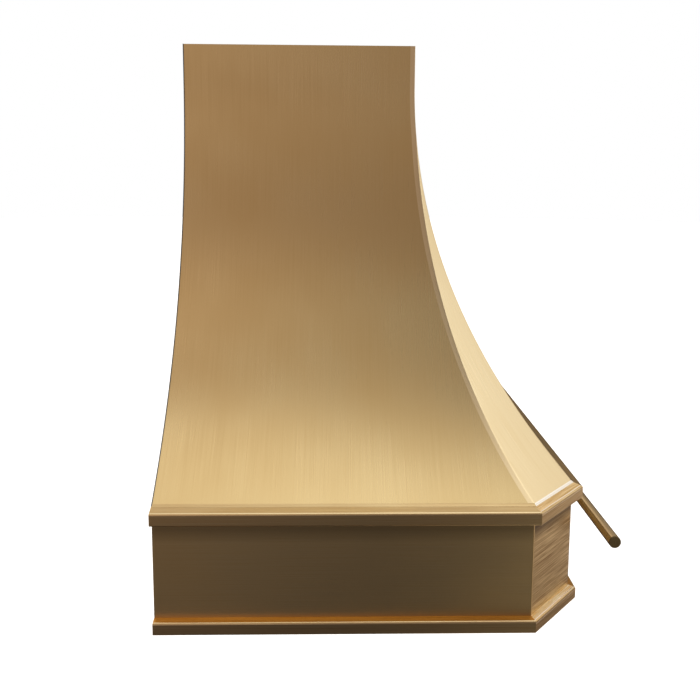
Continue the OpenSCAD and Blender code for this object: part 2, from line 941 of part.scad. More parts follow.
// Half a disc with a rolled barrel round its pin; side -1 is the front one
module damper_flap(side) {
  y = duct_y + side * pin_gap;
  barrel = duct_r - 12;                   // half the barrel's length, clear of the collar
  color(INOX)
    difference() {
      union() {
        translate([0, duct_y, damper_z - flap_t / 2])
          linear_extrude(flap_t)
            intersection() {
              circle(r = flap_r);
              translate([-flap_r, side > 0 ? pin_gap : -flap_r])
                square([2 * flap_r, flap_r - pin_gap]);
            }
        along_x(barrel_r, -barrel, barrel, y, damper_z);
      }
      along_x(pin_r + running, -duct_r, duct_r, y, damper_z);
    }
}

module left_right(side) {
  if (side < 0) children();
  else mirror([1, 0, 0]) children();
}

canopy_front();
canopy_side();  // canopy_side_left
left_right(1) canopy_side();  // canopy_side_right
canopy_corner();  // canopy_corner_left
left_right(1) canopy_corner();  // canopy_corner_right
apron_front();
apron_side();  // apron_side_left
left_right(1) apron_side();  // apron_side_right
upper_trim(2);  // upper_trim_front
upper_trim(1);  // upper_trim_corner_left
upper_trim(3);  // upper_trim_corner_right
upper_trim(0);  // upper_trim_side_left
upper_trim(4);  // upper_trim_side_right
lower_trim(2);  // lower_trim_front
lower_trim(1);  // lower_trim_corner_left
lower_trim(3);  // lower_trim_corner_right
lower_trim(0);  // lower_trim_side_left
lower_trim(4);  // lower_trim_side_right
rail_tube();
rail_cap();  // rail_cap_left
left_right(1) rail_cap();  // rail_cap_right
rail_post(-1);  // rail_post_left
rail_post(1);  // rail_post_right
rail_post_bolts();
rail_set_screws();
back_panel();
wall_rail(1);  // wall_rail_upper
wall_rail(0);  // wall_rail_lower
top_frame();
base_frame();
liner_pan();
liner_screws();
plenum();
filter_frame(-1);  // filter_left
filter_frame(0);  // filter_middle
filter_frame(1);  // filter_right
filter_baffles(-1);  // filter_baffles_left
filter_baffles(0);  // filter_baffles_middle
filter_baffles(1);  // filter_baffles_right
filter_handle(-1);  // filter_handle_left
filter_handle(0);  // filter_handle_middle
filter_handle(1);  // filter_handle_right
grease_cup(-1);  // grease_cup_left
grease_cup(1);  // grease_cup_right
lamp_housings();
lamp_lens(-1);  // lamp_lens_left
lamp_lens(1);  // lamp_lens_right
control_plate();
button(-1);  // button_fan
button(0);  // button_speed
button(1);  // button_light
blower_box();
scroll_housing();
impeller();
motor_shaft();
motor();
duct_collar();
damper_pins();
damper_flap(-1);  // damper_flap_front
damper_flap(1);  // damper_flap_rear
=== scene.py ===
"""Looks of a wall-mounted range hood in brushed brass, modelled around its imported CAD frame.

Axes: X along the wall, Y = 0 on the wall with the hood's front towards -Y, Z up, in metres.
"""

import math

import bmesh
import bpy
from mathutils import Matrix, Vector


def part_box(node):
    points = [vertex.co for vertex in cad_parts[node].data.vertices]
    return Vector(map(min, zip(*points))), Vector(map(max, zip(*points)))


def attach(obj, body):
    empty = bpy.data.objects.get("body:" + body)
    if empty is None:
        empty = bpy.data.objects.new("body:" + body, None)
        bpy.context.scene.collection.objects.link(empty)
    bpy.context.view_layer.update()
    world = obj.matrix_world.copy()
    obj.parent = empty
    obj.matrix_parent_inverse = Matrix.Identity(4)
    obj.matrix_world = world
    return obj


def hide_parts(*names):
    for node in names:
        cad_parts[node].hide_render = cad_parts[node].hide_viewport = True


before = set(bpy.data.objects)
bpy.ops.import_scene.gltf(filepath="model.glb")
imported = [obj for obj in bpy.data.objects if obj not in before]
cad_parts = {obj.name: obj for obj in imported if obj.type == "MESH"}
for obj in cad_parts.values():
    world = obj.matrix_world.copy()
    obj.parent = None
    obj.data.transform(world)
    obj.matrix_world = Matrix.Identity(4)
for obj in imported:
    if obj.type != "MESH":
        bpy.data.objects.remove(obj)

bl_info = {
    "name": "Brass Range Hood",
    "version": (1, 0, 0),
    "blender": (4, 5, 0),
    "location": "View3D > Sidebar > Hood",
    "description": "Models and finishes a brushed brass range hood around its CAD frame",
    "category": "Object",
}

MM = 0.001
GRAIN = "grain"
MERGE = 0.002 * MM  # points of a CAD mesh that are closer than this are the same point
ALONG_WALL, TO_WALL, UP = Vector((1, 0, 0)), Vector((0, 1, 0)), Vector((0, 0, 1))
DOWN = -UP
ROOT2 = math.sqrt(2)
FOLD_TURNS = 6  # straight steps round a rounded fold or crease
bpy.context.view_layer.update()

# ---------------------------------------------------------------- sizes read from the frame

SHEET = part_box("apron_side_left")[1].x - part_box("apron_side_left")[0].x
HALF_W = -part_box("apron_side_left")[0].x
APRON_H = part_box("apron_side_left")[1].z
FACET_Y = -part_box("apron_side_left")[0].y
HOOD_D = -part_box("apron_front")[0].y
HOOD_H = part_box("back_panel")[1].z
FACET_LEG = HOOD_D - FACET_Y
CHIMNEY_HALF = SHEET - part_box("canopy_side_left")[1].x
CHIMNEY_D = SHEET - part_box("canopy_front")[1].y
SIDES = ("left", "right")
FILTERS = ("left", "middle", "right")
BUTTONS = ("fan", "speed", "light")


# ---------------------------------------------------------------- user settings

class HoodSizes(bpy.types.PropertyGroup):
    """Sizes that only the looks need."""

    chimney_straight: bpy.props.FloatProperty(
        name="Chimney straight", description="Height of the chimney's straight part",
        default=69 * MM, min=20 * MM, max=200 * MM, unit="LENGTH")
    facet_lead: bpy.props.FloatProperty(
        name="Facet lead", description="Gap that lets the corner facet fade out below the chimney",
        default=1.2 * MM, min=0.2 * MM, max=5 * MM, unit="LENGTH", precision=4)
    crease_round: bpy.props.FloatProperty(
        name="Crease rounding", description="Reach of the rounding on each side of a crease",
        default=2.2 * MM, min=0.5 * MM, max=8 * MM, unit="LENGTH", precision=4)
    fold_round: bpy.props.FloatProperty(
        name="Fold rounding", description="Reach of the rounding at the apron's folds",
        default=3.4 * MM, min=0.5 * MM, max=8 * MM, unit="LENGTH", precision=4)
    # painted highlight: the width of the lighter strips that stand for the light caught by the ledges'
    # edges and the canopy's foot
    highlight_strip_width: bpy.props.FloatProperty(
        name="Highlight strip width", description="Width of the painted highlight strips along the ledges",
        default=2.4 * MM, min=0.3 * MM, max=6 * MM, unit="LENGTH", precision=4)
    trim_face: bpy.props.FloatProperty(
        name="Trim face", description="Height of the trims' upright face",
        default=19 * MM, min=10 * MM, max=40 * MM, unit="LENGTH")
    trim_edge: bpy.props.FloatProperty(
        name="Trim edge", description="Radius of the trims' folded edges",
        default=1.9 * MM, min=0.2 * MM, max=3 * MM, unit="LENGTH", precision=4)
    small_edge: bpy.props.FloatProperty(
        name="Small edge", description="Width of the broken edges on the inner parts",
        default=0.35 * MM, min=0.05 * MM, max=2 * MM, unit="LENGTH", precision=5)


class HoodFinishes(bpy.types.PropertyGroup):
    """Colours and grain of the finishes, as sRGB hex values."""

    brass_light: bpy.props.StringProperty(
        name="Brass, light", description="Lacquered brass between the brush marks", default="#DEC896")
    brass_dark: bpy.props.StringProperty(
        name="Brass, dark", description="Lacquered brass in the brush marks", default="#CEB47F")
    brass_deep: bpy.props.StringProperty(
        name="Brass, deep", description="Tarnish that stays in coarse brush marks", default="#977548")
    brass_mid: bpy.props.StringProperty(
        name="Brass, middle", description="Light tarnish of the trims", default="#C2A271")
    facet_light: bpy.props.StringProperty(
        name="Brass, facet", description="Bright brush marks on the apron's facets", default="#F3DBAA")
    # partly painted highlight: the corner sheets' brass is paler than the broad sheets' for the light
    # that the corner sheets catch
    corner_light: bpy.props.StringProperty(
        name="Corner, light", description="Lightened corner sheet between the brush marks",
        default="#F3E0B8")
    corner_dark: bpy.props.StringProperty(
        name="Corner, dark", description="Lightened corner sheet in the brush marks", default="#E3CA98")
    steel_light: bpy.props.StringProperty(
        name="Stainless, light", description="Stainless steel between the brush marks",
        default="#C9CACB")
    steel_dark: bpy.props.StringProperty(
        name="Stainless, dark", description="Stainless steel in the brush marks", default="#A3A5A7")
    zinc_light: bpy.props.StringProperty(
        name="Zinc, light", description="Light crystals of the galvanised sheet", default="#B9BFC2")
    zinc_dark: bpy.props.StringProperty(
        name="Zinc, dark", description="Dark crystals of the galvanised sheet", default="#8D9498")
    grain_width: bpy.props.FloatProperty(
        name="Grain width", description="Width of one brush mark, drawn coarse enough to show",
        default=0.9 * MM, min=0.2 * MM, max=5 * MM, unit="LENGTH", precision=4)
    grain_length: bpy.props.FloatProperty(
        name="Grain length", description="Length of one brush mark",
        default=160 * MM, min=10 * MM, max=500 * MM, unit="LENGTH")


class HoodStage(bpy.types.PropertyGroup):
    """Camera and light of the plain studio."""

    camera_place: bpy.props.FloatVectorProperty(
        name="Camera place", description="Where the camera stands", subtype="XYZ", unit="LENGTH",
        default=(-1.5235, -0.2751, 0.6748))
    camera_pitch: bpy.props.FloatProperty(
        name="Camera pitch", description="How far the camera looks down", subtype="ANGLE",
        default=0.11644)
    camera_yaw: bpy.props.FloatProperty(
        name="Camera yaw", description="How far the camera looks towards the front", subtype="ANGLE",
        default=0.01956)
    camera_roll: bpy.props.FloatProperty(
        name="Camera roll", description="How far the camera leans", subtype="ANGLE",
        default=0.0061)
    camera_lens: bpy.props.FloatProperty(
        name="Camera lens", description="Focal length for a 36 mm sensor, in millimetres",
        default=36.02)
    camera_shift: bpy.props.FloatVectorProperty(
        name="Camera shift", description="Lens shift that the framing needs", size=2,
        default=(-0.0029, -0.1233))
    floor_drop: bpy.props.FloatProperty(
        name="Floor drop", description="How far the floor lies below the hood",
        default=0.9, min=0.1, max=3, unit="LENGTH")
    soft_light: bpy.props.FloatProperty(
        name="Soft light", description="Strength of the studio's soft surrounding light",
        default=1.0, min=0, max=5)
    front_box: bpy.props.FloatProperty(
        name="Front softbox", description="Power of the softbox at the hood's front left",
        default=4.0, min=0, max=2000, unit="POWER")
    top_box: bpy.props.FloatProperty(
        name="Top softbox", description="Power of the softbox above the hood",
        default=4.0, min=0, max=2000, unit="POWER")


def sizes():
    return bpy.context.scene.hood_sizes


def finishes():
    return bpy.context.scene.hood_finishes


# ---------------------------------------------------------------- material helpers

def linear_colour(hex_colour):
    """Linear RGBA of an sRGB hex colour."""
    parts = [int(hex_colour[i:i + 2], 16) / 255 for i in (1, 3, 5)]
    return (*[p / 12.92 if p <= 0.04045 else ((p + 0.055) / 1.055) ** 2.4 for p in parts], 1.0)


def add_node(tree, kind, settings=None, links=None):
    """Adds a node. Settings are its properties or input values, and links are sockets or values
    for its inputs."""
    node = tree.nodes.new(kind)
    for name, value in (settings or {}).items():
        if isinstance(name, str) and hasattr(node, name):
            setattr(node, name, value)
        else:
            node.inputs[name].default_value = value
    for name, value in (links or {}).items():
        if isinstance(value, bpy.types.NodeSocket):
            tree.links.new(value, node.inputs[name])
        else:
            node.inputs[name].default_value = value
    return node


def new_material(name, settings):
    """An empty material with one Principled shader: (material, tree, shader)."""
    material = bpy.data.materials.new(name)
    material.use_nodes = True
    tree = material.node_tree
    tree.nodes.clear()
    shader = add_node(tree, "ShaderNodeBsdfPrincipled", settings)
    add_node(tree, "ShaderNodeOutputMaterial", links={"Surface": shader.outputs[0]})
    material.diffuse_color = linear_colour("#B0905C")
    return material, tree, shader


def noise(tree, vector, scale, detail=3.0, rough=0.55):
    return add_node(
        tree, "ShaderNodeTexNoise",
        {"Scale": scale, "Detail": detail, "Roughness": rough}, {"Vector": vector}).outputs["Fac"]


def ranged(tree, value, low, high, to_low, to_high):
    """value carried from one range to another, and held inside it."""
    return add_node(
        tree, "ShaderNodeMapRange",
        {"From Min": low, "From Max": high, "To Min": to_low, "To Max": to_high},
        {"Value": value}).outputs[0]


def fade(tree, value, start, end):
    """0 where value is at start, 1 where it is at end, and held there."""
    return ranged(tree, value, start, end, 0.0, 1.0)


def mixed(tree, factor, first, second):
    """Two colours mixed by a factor."""
    return add_node(
        tree, "ShaderNodeMix", {"data_type": "RGBA"}, {0: factor, 6: first, 7: second}).outputs[2]


def maths(tree, operation, first, second=0.0):
    return add_node(tree, "ShaderNodeMath", {"operation": operation}, {0: first, 1: second}).outputs[0]


def product(tree, first, *others):
    for other in others:
        first = maths(tree, "MULTIPLY", first, other)
    return first


def bumped(tree, shader, height, strength, distance):
    bump = add_node(
        tree, "ShaderNodeBump", {"Strength": strength, "Distance": distance}, {"Height": height})
    tree.links.new(bump.outputs[0], shader.inputs["Normal"])


def brushed_metal(name, light, dark, width, length, streak, roughness, stretch, patina, lip):
    """Sheet metal dragged under an abrasive belt: straight, fine scratches along one way that
    smear a reflection across them, with a few deeper and duller ones. The scratches run along
    the piece's own grain map, whose units are metres. Streak is the contrast of the marks and
    stretch how far they smear a reflection. Patina is how much brown the air has left in clouds,
    and lip is how dark the painted shade under the upper trim is, with some tarnish in it."""
    material, tree, shader = new_material(
        name, {"Metallic": 1.0, "Anisotropic": stretch, "Roughness": roughness})
    grain = add_node(tree, "ShaderNodeUVMap", {"uv_map": GRAIN}).outputs[0]
    place = add_node(tree, "ShaderNodeTexCoord").outputs["Object"]

    def scratches(across, along, detail, rough):
        scale = (across / width, along / length, 1)
        mapping = add_node(tree, "ShaderNodeMapping", {"Scale": scale}, {"Vector": grain})
        return noise(tree, mapping.outputs[0], 1.0, detail, rough)

    fine = scratches(1, 1, 4.0, 0.65)
    bands = scratches(0.12, 0.35, 3.0, 0.6)
    clouds = noise(tree, place, 5.0, 2.0, 0.5)
    marks = maths(tree, "ADD", product(tree, fine, 0.85), product(tree, bands, 0.15))
    colour = mixed(tree, fade(tree, marks, 0.5 - 0.5 / streak, 0.5 + 0.5 / streak), dark, light)
    if patina:
        aged = (*[c * f for c, f in zip(dark, (0.92, 0.8, 0.62))], 1.0)
        colour = mixed(tree, ranged(tree, clouds, 0.35, 0.75, 0.0, patina), colour, aged)
    # painted shade: the sheet darkens just below the upper trim, standing for the trim's shadow together
    # with some tarnish
    if lip:
        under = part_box("upper_trim_front")[0].z
        height = add_node(tree, "ShaderNodeSeparateXYZ", links={"Vector": place}).outputs[2]
        trim_shadow_and_tarnish = ranged(tree, height, under - 34 * MM, under - 13 * MM, 0.0, lip)
        colour = mixed(tree, trim_shadow_and_tarnish, colour, linear_colour("#4A3A28"))
    tree.links.new(colour, shader.inputs["Base Color"])
    dull = maths(tree, "ADD", ranged(tree, fine, 0.3, 0.7, roughness + 0.05, roughness - 0.04),
                 ranged(tree, clouds, 0.3, 0.7, -0.02, 0.03))
    tree.links.new(dull, shader.inputs["Roughness"])
    tangent = add_node(tree, "ShaderNodeTangent", {"direction_type": "UV_MAP", "uv_map": GRAIN})
    tree.links.new(tangent.outputs[0], shader.inputs["Tangent"])
    bumped(tree, shader, marks, 0.06 * streak, 0.05 * MM)
    return material


def galvanised_sheet(name):
    """Hot-dip galvanised steel: a matt grey coat of zinc crystals, each a centimetre or so wide,
    that catch the light at slightly different strengths."""
    f = finishes()
    material, tree, shader = new_material(name, {"Metallic": 0.85, "Roughness": 0.48})
    place = add_node(tree, "ShaderNodeTexCoord").outputs["Object"]
    crystals = add_node(
        tree, "ShaderNodeTexVoronoi", {"Scale": 1 / (11 * MM), "Randomness": 1.0}, {"Vector": place})
    needles = noise(tree, place, 1 / (2.2 * MM), 3.0, 0.6)
    tone = add_node(tree, "ShaderNodeSeparateColor", links={"Color": crystals.outputs["Color"]})
    blend = maths(tree, "ADD", product(tree, tone.outputs[0], 0.7), product(tree, needles, 0.3))
    colour = mixed(tree, blend, linear_colour(f.zinc_dark), linear_colour(f.zinc_light))
    tree.links.new(colour, shader.inputs["Base Color"])
    tree.links.new(ranged(tree, blend, 0.0, 1.0, 0.56, 0.38), shader.inputs["Roughness"])
    bumped(tree, shader, needles, 0.08, 0.1 * MM)
    return material


def speckled(name, light, dark, metallic, roughness, grit, bump, coat):
    """A cast, moulded or sprayed surface: an even colour with a fine grit of the given size."""
    material, tree, shader = new_material(
        name, {"Metallic": metallic, "Roughness": roughness,
               "Coat Weight": coat, "Coat Roughness": 0.2})
    place = add_node(tree, "ShaderNodeTexCoord").outputs["Object"]
    grit_noise = noise(tree, place, 1 / grit, 3.0, 0.6)
    wear = noise(tree, place, 14.0, 3.0, 0.6)
    colour = mixed(tree, fade(tree, wear, 0.3, 0.7), linear_colour(dark), linear_colour(light))
    tree.links.new(colour, shader.inputs["Base Color"])
    dull = ranged(tree, grit_noise, 0.2, 0.8, roughness - 0.06, roughness + 0.08)
    tree.links.new(dull, shader.inputs["Roughness"])
    bumped(tree, shader, grit_noise, bump, 0.1 * MM)
    return material


def frosted_glass(name):
    """Pressed lamp glass with a satin back: it lets light through but hides what is behind."""
    material, tree, shader = new_material(
        name, {"Roughness": 0.28, "Transmission Weight": 0.75, "IOR": 1.5,
               "Base Color": linear_colour("#F4F1E6"), "Emission Color": linear_colour("#FFF3D8"),
               "Emission Strength": 0.12})
    place = add_node(tree, "ShaderNodeTexCoord").outputs["Object"]
    pebbles = add_node(
        tree, "ShaderNodeTexVoronoi",
        {"Scale": 1 / (2.4 * MM), "feature": "SMOOTH_F1"}, {"Vector": place})
    tint = mixed(tree, fade(tree, pebbles.outputs["Distance"], 0.0, 0.6),
                 linear_colour("#FBF8EE"), linear_colour("#E9E5D6"))
    tree.links.new(tint, shader.inputs["Base Color"])
    bumped(tree, shader, pebbles.outputs["Distance"], 0.5, 0.4 * MM)
    return material


# Brushed and turned metals: name, light and dark colour as a setting or a hex value, width and
# length of a mark as shares of the grain settings, then streak, roughness, stretch, patina and lip,
# which is the painted shade under the upper trim, with some tarnish.
BRUSHED = {
    # long, faint upright scratches: tall soft streaks under brown clouds of age
    "canopy_brass": (
        "Brushed brass, upright grain", "brass_light", "brass_dark", 1.0, 1.0, 1.4, 0.29, 0.7, 0.35, 0),
    # the same sheet with its grain level, darkened under the upper trim by painted shade with some
    # tarnish
    "apron_brass": (
        "Brushed brass, level grain", "brass_light", "brass_dark", 1.0, 1.0, 1.8, 0.33, 0.5, 0.3, 0.42),
    # paler and brighter than the broad sheets, with almost no tarnish: partly painted highlight for the
    # light that the corner sheets catch
    "corner_brass": (
        "Brushed brass, lightened corner sheet", "corner_light", "corner_dark",
        1.0, 1.0, 1.6, 0.3, 0.5, 0.1, 0),
    # wide marks with brown tarnish left in them: a coarse, streaky panel, with a strong band of painted
    # shade, and some tarnish, under the upper trim
    "facet_brass": (
        "Brushed brass, coarse level grain", "facet_light", "brass_deep",
        2.0, 0.5, 4.0, 0.34, 0.4, 0.2, 0.85),
    # clear level lines along each folded length
    "trim_brass": (
        "Brushed brass, trim", "brass_light", "brass_mid", 1.6, 1.0, 2.4, 0.33, 0.5, 0.3, 0),
    # short strong marks that make the corner lengths livelier than the sides
    "corner_trim_brass": (
        "Brushed brass, corner trim", "facet_light", "brass_deep", 1.2, 0.6, 3.6, 0.3, 0.4, 0.1, 0),
    # painted highlight: a bright, streaky copy of the brass for the upper corner ledges, which face the
    # light
    "corner_ledge_highlight_brass": (
        "Brushed brass, upper corner ledge", "#FFF2CC", "#C8A96A", 1.8, 0.5, 3.6, 0.26, 0.4, 0, 0),
    # a little duller and browner than the upper trim, nearer the steam
    "low_trim_brass": (
        "Brushed brass, lower trim", "#CDB78B", "#AC9066", 1.6, 1.0, 2.4, 0.33, 0.5, 0.2, 0),
    # dull like the lower trim, with the corner lengths' strong marks
    "low_corner_brass": (
        "Brushed brass, lower corner trim", "#D6B682", "#7E6038", 1.4, 0.5, 3.6, 0.3, 0.4, 0.1, 0),
    # an orange film of heat on the lower ledge
    "warm_ledge_brass": (
        "Brushed brass, lower ledge", "#DCA85A", "#B47C32", 1.6, 1.0, 2.4, 0.3, 0.5, 0, 0),
    # painted reflection: pale yellow with soft gold marks for the bright light that the lower corner
    # ledges mirror, and rougher so that it scatters light
    "low_corner_ledge_highlight_brass": (
        "Brushed brass, lower corner ledge", "#FFFBE4", "#E6B65A", 2.0, 0.4, 3.6, 0.46, 0.3, 0, 0),
    # fine turning rings on a dull brown end, darker than the tube: tarnish, with painted shade for the
    # dark room that the end mirrors
    "cap_tarnish_and_shade_brass": ("Tarnished and shaded brass, turned", "#8C7A58", "#54462C", 0.7, 0.1, 1.8, 0.42, 0.2, 0, 0),
    # painted highlight: a narrow lighter line along the side lengths' ledge rims
    "rim_highlight_brass": ("Brass, painted rim highlight", "corner_light", "brass_light", 1.0, 1.0, 1.6, 0.24, 0.3, 0, 0),
    # painted highlight: nearly white strips on the corner lengths, for the glint their rounded edges
    # catch
    "edge_glint_brass": ("Brass, painted edge glint", "#FFFDF8", "#FFF4E0", 1.0, 0.5, 2.0, 0.2, 0.3, 0, 0),
    # drawn through a die: smooth and bright, with short dark drag lines
    "rail_brass": ("Drawn brass tube", "corner_light", "brass_deep", 1.2, 0.5, 1.6, 0.24, 0.2, 0.1, 0),
    # cool grey with an even satin grain
    "stainless_steel": (
        "Brushed stainless steel", "steel_light", "steel_dark", 0.8, 0.5, 1.7, 0.34, 0.4, 0, 0),
    # very fine grinding marks and a sharper shine
    "ground_steel": ("Ground steel shaft", "steel_light", "steel_dark", 0.4, 0.1, 1.6, 0.25, 0.3, 0, 0),
}

# Cast, moulded or sprayed finishes: name, light and dark colour, metallic, roughness, size of the
# grit, bump and lacquer.
SPECKLED = {
    # painted shade: a flat black disc under each screw head stands for the dark inside its socket, with
    # a faint edge
    "socket_shade_black": ("Black painted socket shade", "#1E1F21", "#141516", 0.4, 0.6, 1 * MM, 0.1, 0.0),
    # blue-grey raw edge, a dark thin line beside the brass
    "seal_steel": ("Darkened steel edge", "#6F7882", "#4A525C", 0.8, 0.45, 2 * MM, 0.1, 0.0),
    # sprayed black with a soft gloss
    "motor_enamel": ("Black motor enamel", "#2A2C2E", "#1B1C1E", 0.0, 0.42, 1.2 * MM, 0.15, 0.3),
    # even satin black from an etched mould
    "button_plastic": ("Moulded ABS", "#2B2C2E", "#232426", 0.0, 0.45, 0.5 * MM, 0.2, 0.0),
}

_made = {}


def brushed_finish(name, light, dark, width, length, *handling):
    f = finishes()
    colours = [linear_colour(c if c.startswith("#") else getattr(f, c)) for c in (light, dark)]
    return brushed_metal(name, *colours, width * f.grain_width, length * f.grain_length, *handling)


def finish_of(slot):
    """The material of a slot, made when it is first asked for."""
    if slot not in _made:
        if slot in BRUSHED:
            _made[slot] = brushed_finish(*BRUSHED[slot])
        elif slot in SPECKLED:
            _made[slot] = speckled(*SPECKLED[slot])
        elif slot == "galvanised_steel":
            _made[slot] = galvanised_sheet("Galvanised steel")
        else:
            _made[slot] = {"lamp_glass": frosted_glass}[slot]("Frosted lamp glass")
    return _made[slot]


# ---------------------------------------------------------------- mesh helpers

def grain_map(bm, along):
    """Lays the grain map flat on each face: V runs along the grain, U across it, in metres."""
    layer = bm.loops.layers.uv.get(GRAIN) or bm.loops.layers.uv.new(GRAIN)
    for face in bm.faces:
        normal = face.normal
        way = along - normal * along.dot(normal)
        if way.length < 0.3:
            other = Vector((0, 0, 1)) if abs(along.z) < 0.5 else Vector((1, 0, 0))
            way = other - normal * other.dot(normal)
        if way.length < 0.01:
            way = Vector((0, 1, 0)) - normal * normal.y
        way.normalize()
        across = normal.cross(way)
        for loop in face.loops:
            loop[layer].uv = (loop.vert.co.dot(across), loop.vert.co.dot(way))


def piece(name, bm, finish, slot, body="hood", nodes=(), smooth=40):
    """Makes the object of a finished mesh, in its body and finish; slot is not used. Edges that turn
    by more than smooth degrees stay sharp."""
    for face in bm.faces:
        face.smooth = True
    for edge in bm.edges:
        edge.smooth = edge.is_manifold and edge.calc_face_angle(0) < math.radians(smooth)
    mesh = bpy.data.meshes.new(name)
    bm.to_mesh(mesh)
    bm.free()
    obj = bpy.data.objects.new(name, mesh)
    bpy.context.scene.collection.objects.link(obj)
    mesh.materials.append(finish_of(finish))
    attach(obj, body)
    if nodes:
        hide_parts(*nodes)
    return obj


def soften(obj, width, segments=2, angle=35):
    """Breaks the sharp edges of a piece."""
    bevel = obj.modifiers.new("Broken edges", "BEVEL")
    bevel.width = width
    bevel.segments = segments
    bevel.limit_method = "ANGLE"
    bevel.angle_limit = math.radians(angle)
    bevel.harden_normals = True
    bevel.use_clamp_overlap = True
    return obj


def thicken(obj, even):
    """Gives a sheet its wall, on the inside of its outer face."""
    wall = obj.modifiers.new("Sheet thickness", "SOLIDIFY")
    wall.thickness = SHEET
    wall.offset = -1
    wall.use_even_offset = even


def node_mesh(node):
    """A merged copy of a CAD node's mesh."""
    bm = bmesh.new()
    bm.from_mesh(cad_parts[node].data)
    bmesh.ops.remove_doubles(bm, verts=bm.verts, dist=MERGE)
    return bm


def dressed(node, finish, body="hood", along=ALONG_WALL, edge=None, segments=2):
    """A CAD node's own shape, merged into clean faces, with broken edges and a grain map."""
    bm = node_mesh(node)
    bmesh.ops.dissolve_limit(
        bm, angle_limit=math.radians(0.6), verts=bm.verts, edges=bm.edges, use_dissolve_boundaries=False)
    grain_map(bm, along)
    obj = piece(node + "_finished", bm, finish, finish, body, (node,))
    width = sizes().small_edge if edge is None else edge
    if width:
        soften(obj, width, segments)


def loft(rows, outward, across=None):
    """A sheet through rows of points. The first row is a chain of edges, and each next row is
    extruded from the one before and moved into place. The grain climbs from row to row where
    across is given, and otherwise runs along the rows."""
    bm = bmesh.new()
    layer = bm.loops.layers.uv.new(GRAIN)
    walked = [0.0]
    for a, b in zip(rows[0], rows[0][1:]):
        walked.append(walked[-1] + (b - a).length)
    row = [bm.verts.new(p) for p in rows[0]]
    place = {v: (0.0, w) for v, w in zip(row, walked)}
    climbed = 0.0
    for below, target in zip(rows, rows[1:]):
        edges = [bm.edges.get(pair) or bm.edges.new(pair) for pair in zip(row, row[1:])]
        made = bmesh.ops.extrude_edge_only(bm, edges=edges)["geom"]
        fresh = {g for g in made if isinstance(g, bmesh.types.BMVert)}
        row = [next(e.other_vert(v) for e in v.link_edges if e.other_vert(v) in fresh) for v in row]
        climbed += (target[0] - below[0]).length
        for vert, point, walk in zip(row, target, walked):
            vert.co = point
            place[vert] = (climbed, walk)
    bmesh.ops.recalc_face_normals(bm, faces=bm.faces)
    bm.faces.ensure_lookup_table()
    if bm.faces[len(bm.faces) // 2].normal.dot(outward) < 0:
        bmesh.ops.reverse_faces(bm, faces=bm.faces)
    for face in bm.faces:
        for loop in face.loops:
            climb, walk = place[loop.vert]
            loop[layer].uv = (climb, walk) if across is None else (loop.vert.co.dot(across), climb)
    return bm


def spun(profile, origin, axis, steps=64):
    """A turned shape: a profile of (radius, height) points, spun once round an axis."""
    axis = Vector(axis).normalized()
    side = axis.orthogonal().normalized()
    bm = bmesh.new()
    verts = [bm.verts.new(Vector(origin) + side * r + axis * h) for r, h in profile]
    edges = [bm.edges.new(pair) for pair in zip(verts, verts[1:])]
    bmesh.ops.spin(
        bm, geom=verts + edges, cent=origin, axis=axis, angle=math.tau, steps=steps, use_merge=True)
    bmesh.ops.remove_doubles(bm, verts=bm.verts, dist=0.005 * MM)
    bmesh.ops.recalc_face_normals(bm, faces=bm.faces)
    return bm


def turned(name, profile, origin, axis, finish, slot=None, steps=64, grain=ALONG_WALL, **rest):
    """A piece spun from a profile, with its grain laid the given way."""
    bm = spun(profile, origin, axis, steps)
    grain_map(bm, grain)
    piece(name, bm, finish, slot or finish, **rest)


def middle_of(low, high):
    return (low + high) / 2


def islands(node):
    """The separate lumps of a CAD node: (lowest corner, highest corner) of each."""
    bm = node_mesh(node)
    waiting, lumps = set(bm.verts), []
    while waiting:
        front, lump = [waiting.pop()], []
        while front:
            vert = front.pop()
            lump.append(vert.co.copy())
            near = {e.other_vert(vert) for e in vert.link_edges} & waiting
            waiting -= near
            front.extend(near)
        lumps.append([Vector([pick(c[i] for c in lump) for i in range(3)]) for pick in (min, max)])
    bm.free()
    return lumps


def together(name, shapes, finish, slot, body="hood"):
    """One piece of several meshes that share a finish."""
    whole = bmesh.new()
    for bm in shapes:
        part = bpy.data.meshes.new("part")
        bm.to_mesh(part)
        bm.free()
        whole.from_mesh(part)
        bpy.data.meshes.remove(part)
    grain_map(whole, ALONG_WALL)
    piece(name, whole, finish, slot, body, smooth=35)


def rivets(name, places, axis, radius, finish, body="hood"):
    """Domed blind rivets, each with the small dark well of its drawn stem. The profile is in
    shares of the rivet's radius."""
    dome = [(0, 0.1), (0.35, 0.1), (0.35, 0.42), (0.62, 0.36), (0.88, 0.2), (1, 0)]
    profile = [(r * radius, h * radius) for r, h in dome]
    together(name, [spun(profile, place, axis, 12) for place in places], finish, finish, body)


# ---------------------------------------------------------------- canopy

def sweep(run, depth, drop):
    """How far a circular sweep has moved out at some depth below its start."""
    radius = (run * run + drop * drop) / (2 * run)
    return radius - math.sqrt(radius * radius - depth * depth)


def bezier(points, t):
    """A point on the Bezier curve of 3 or 4 control points."""
    while len(points) > 1:
        points = [a.lerp(b, t) for a, b in zip(points, points[1:])]
    return points[0]


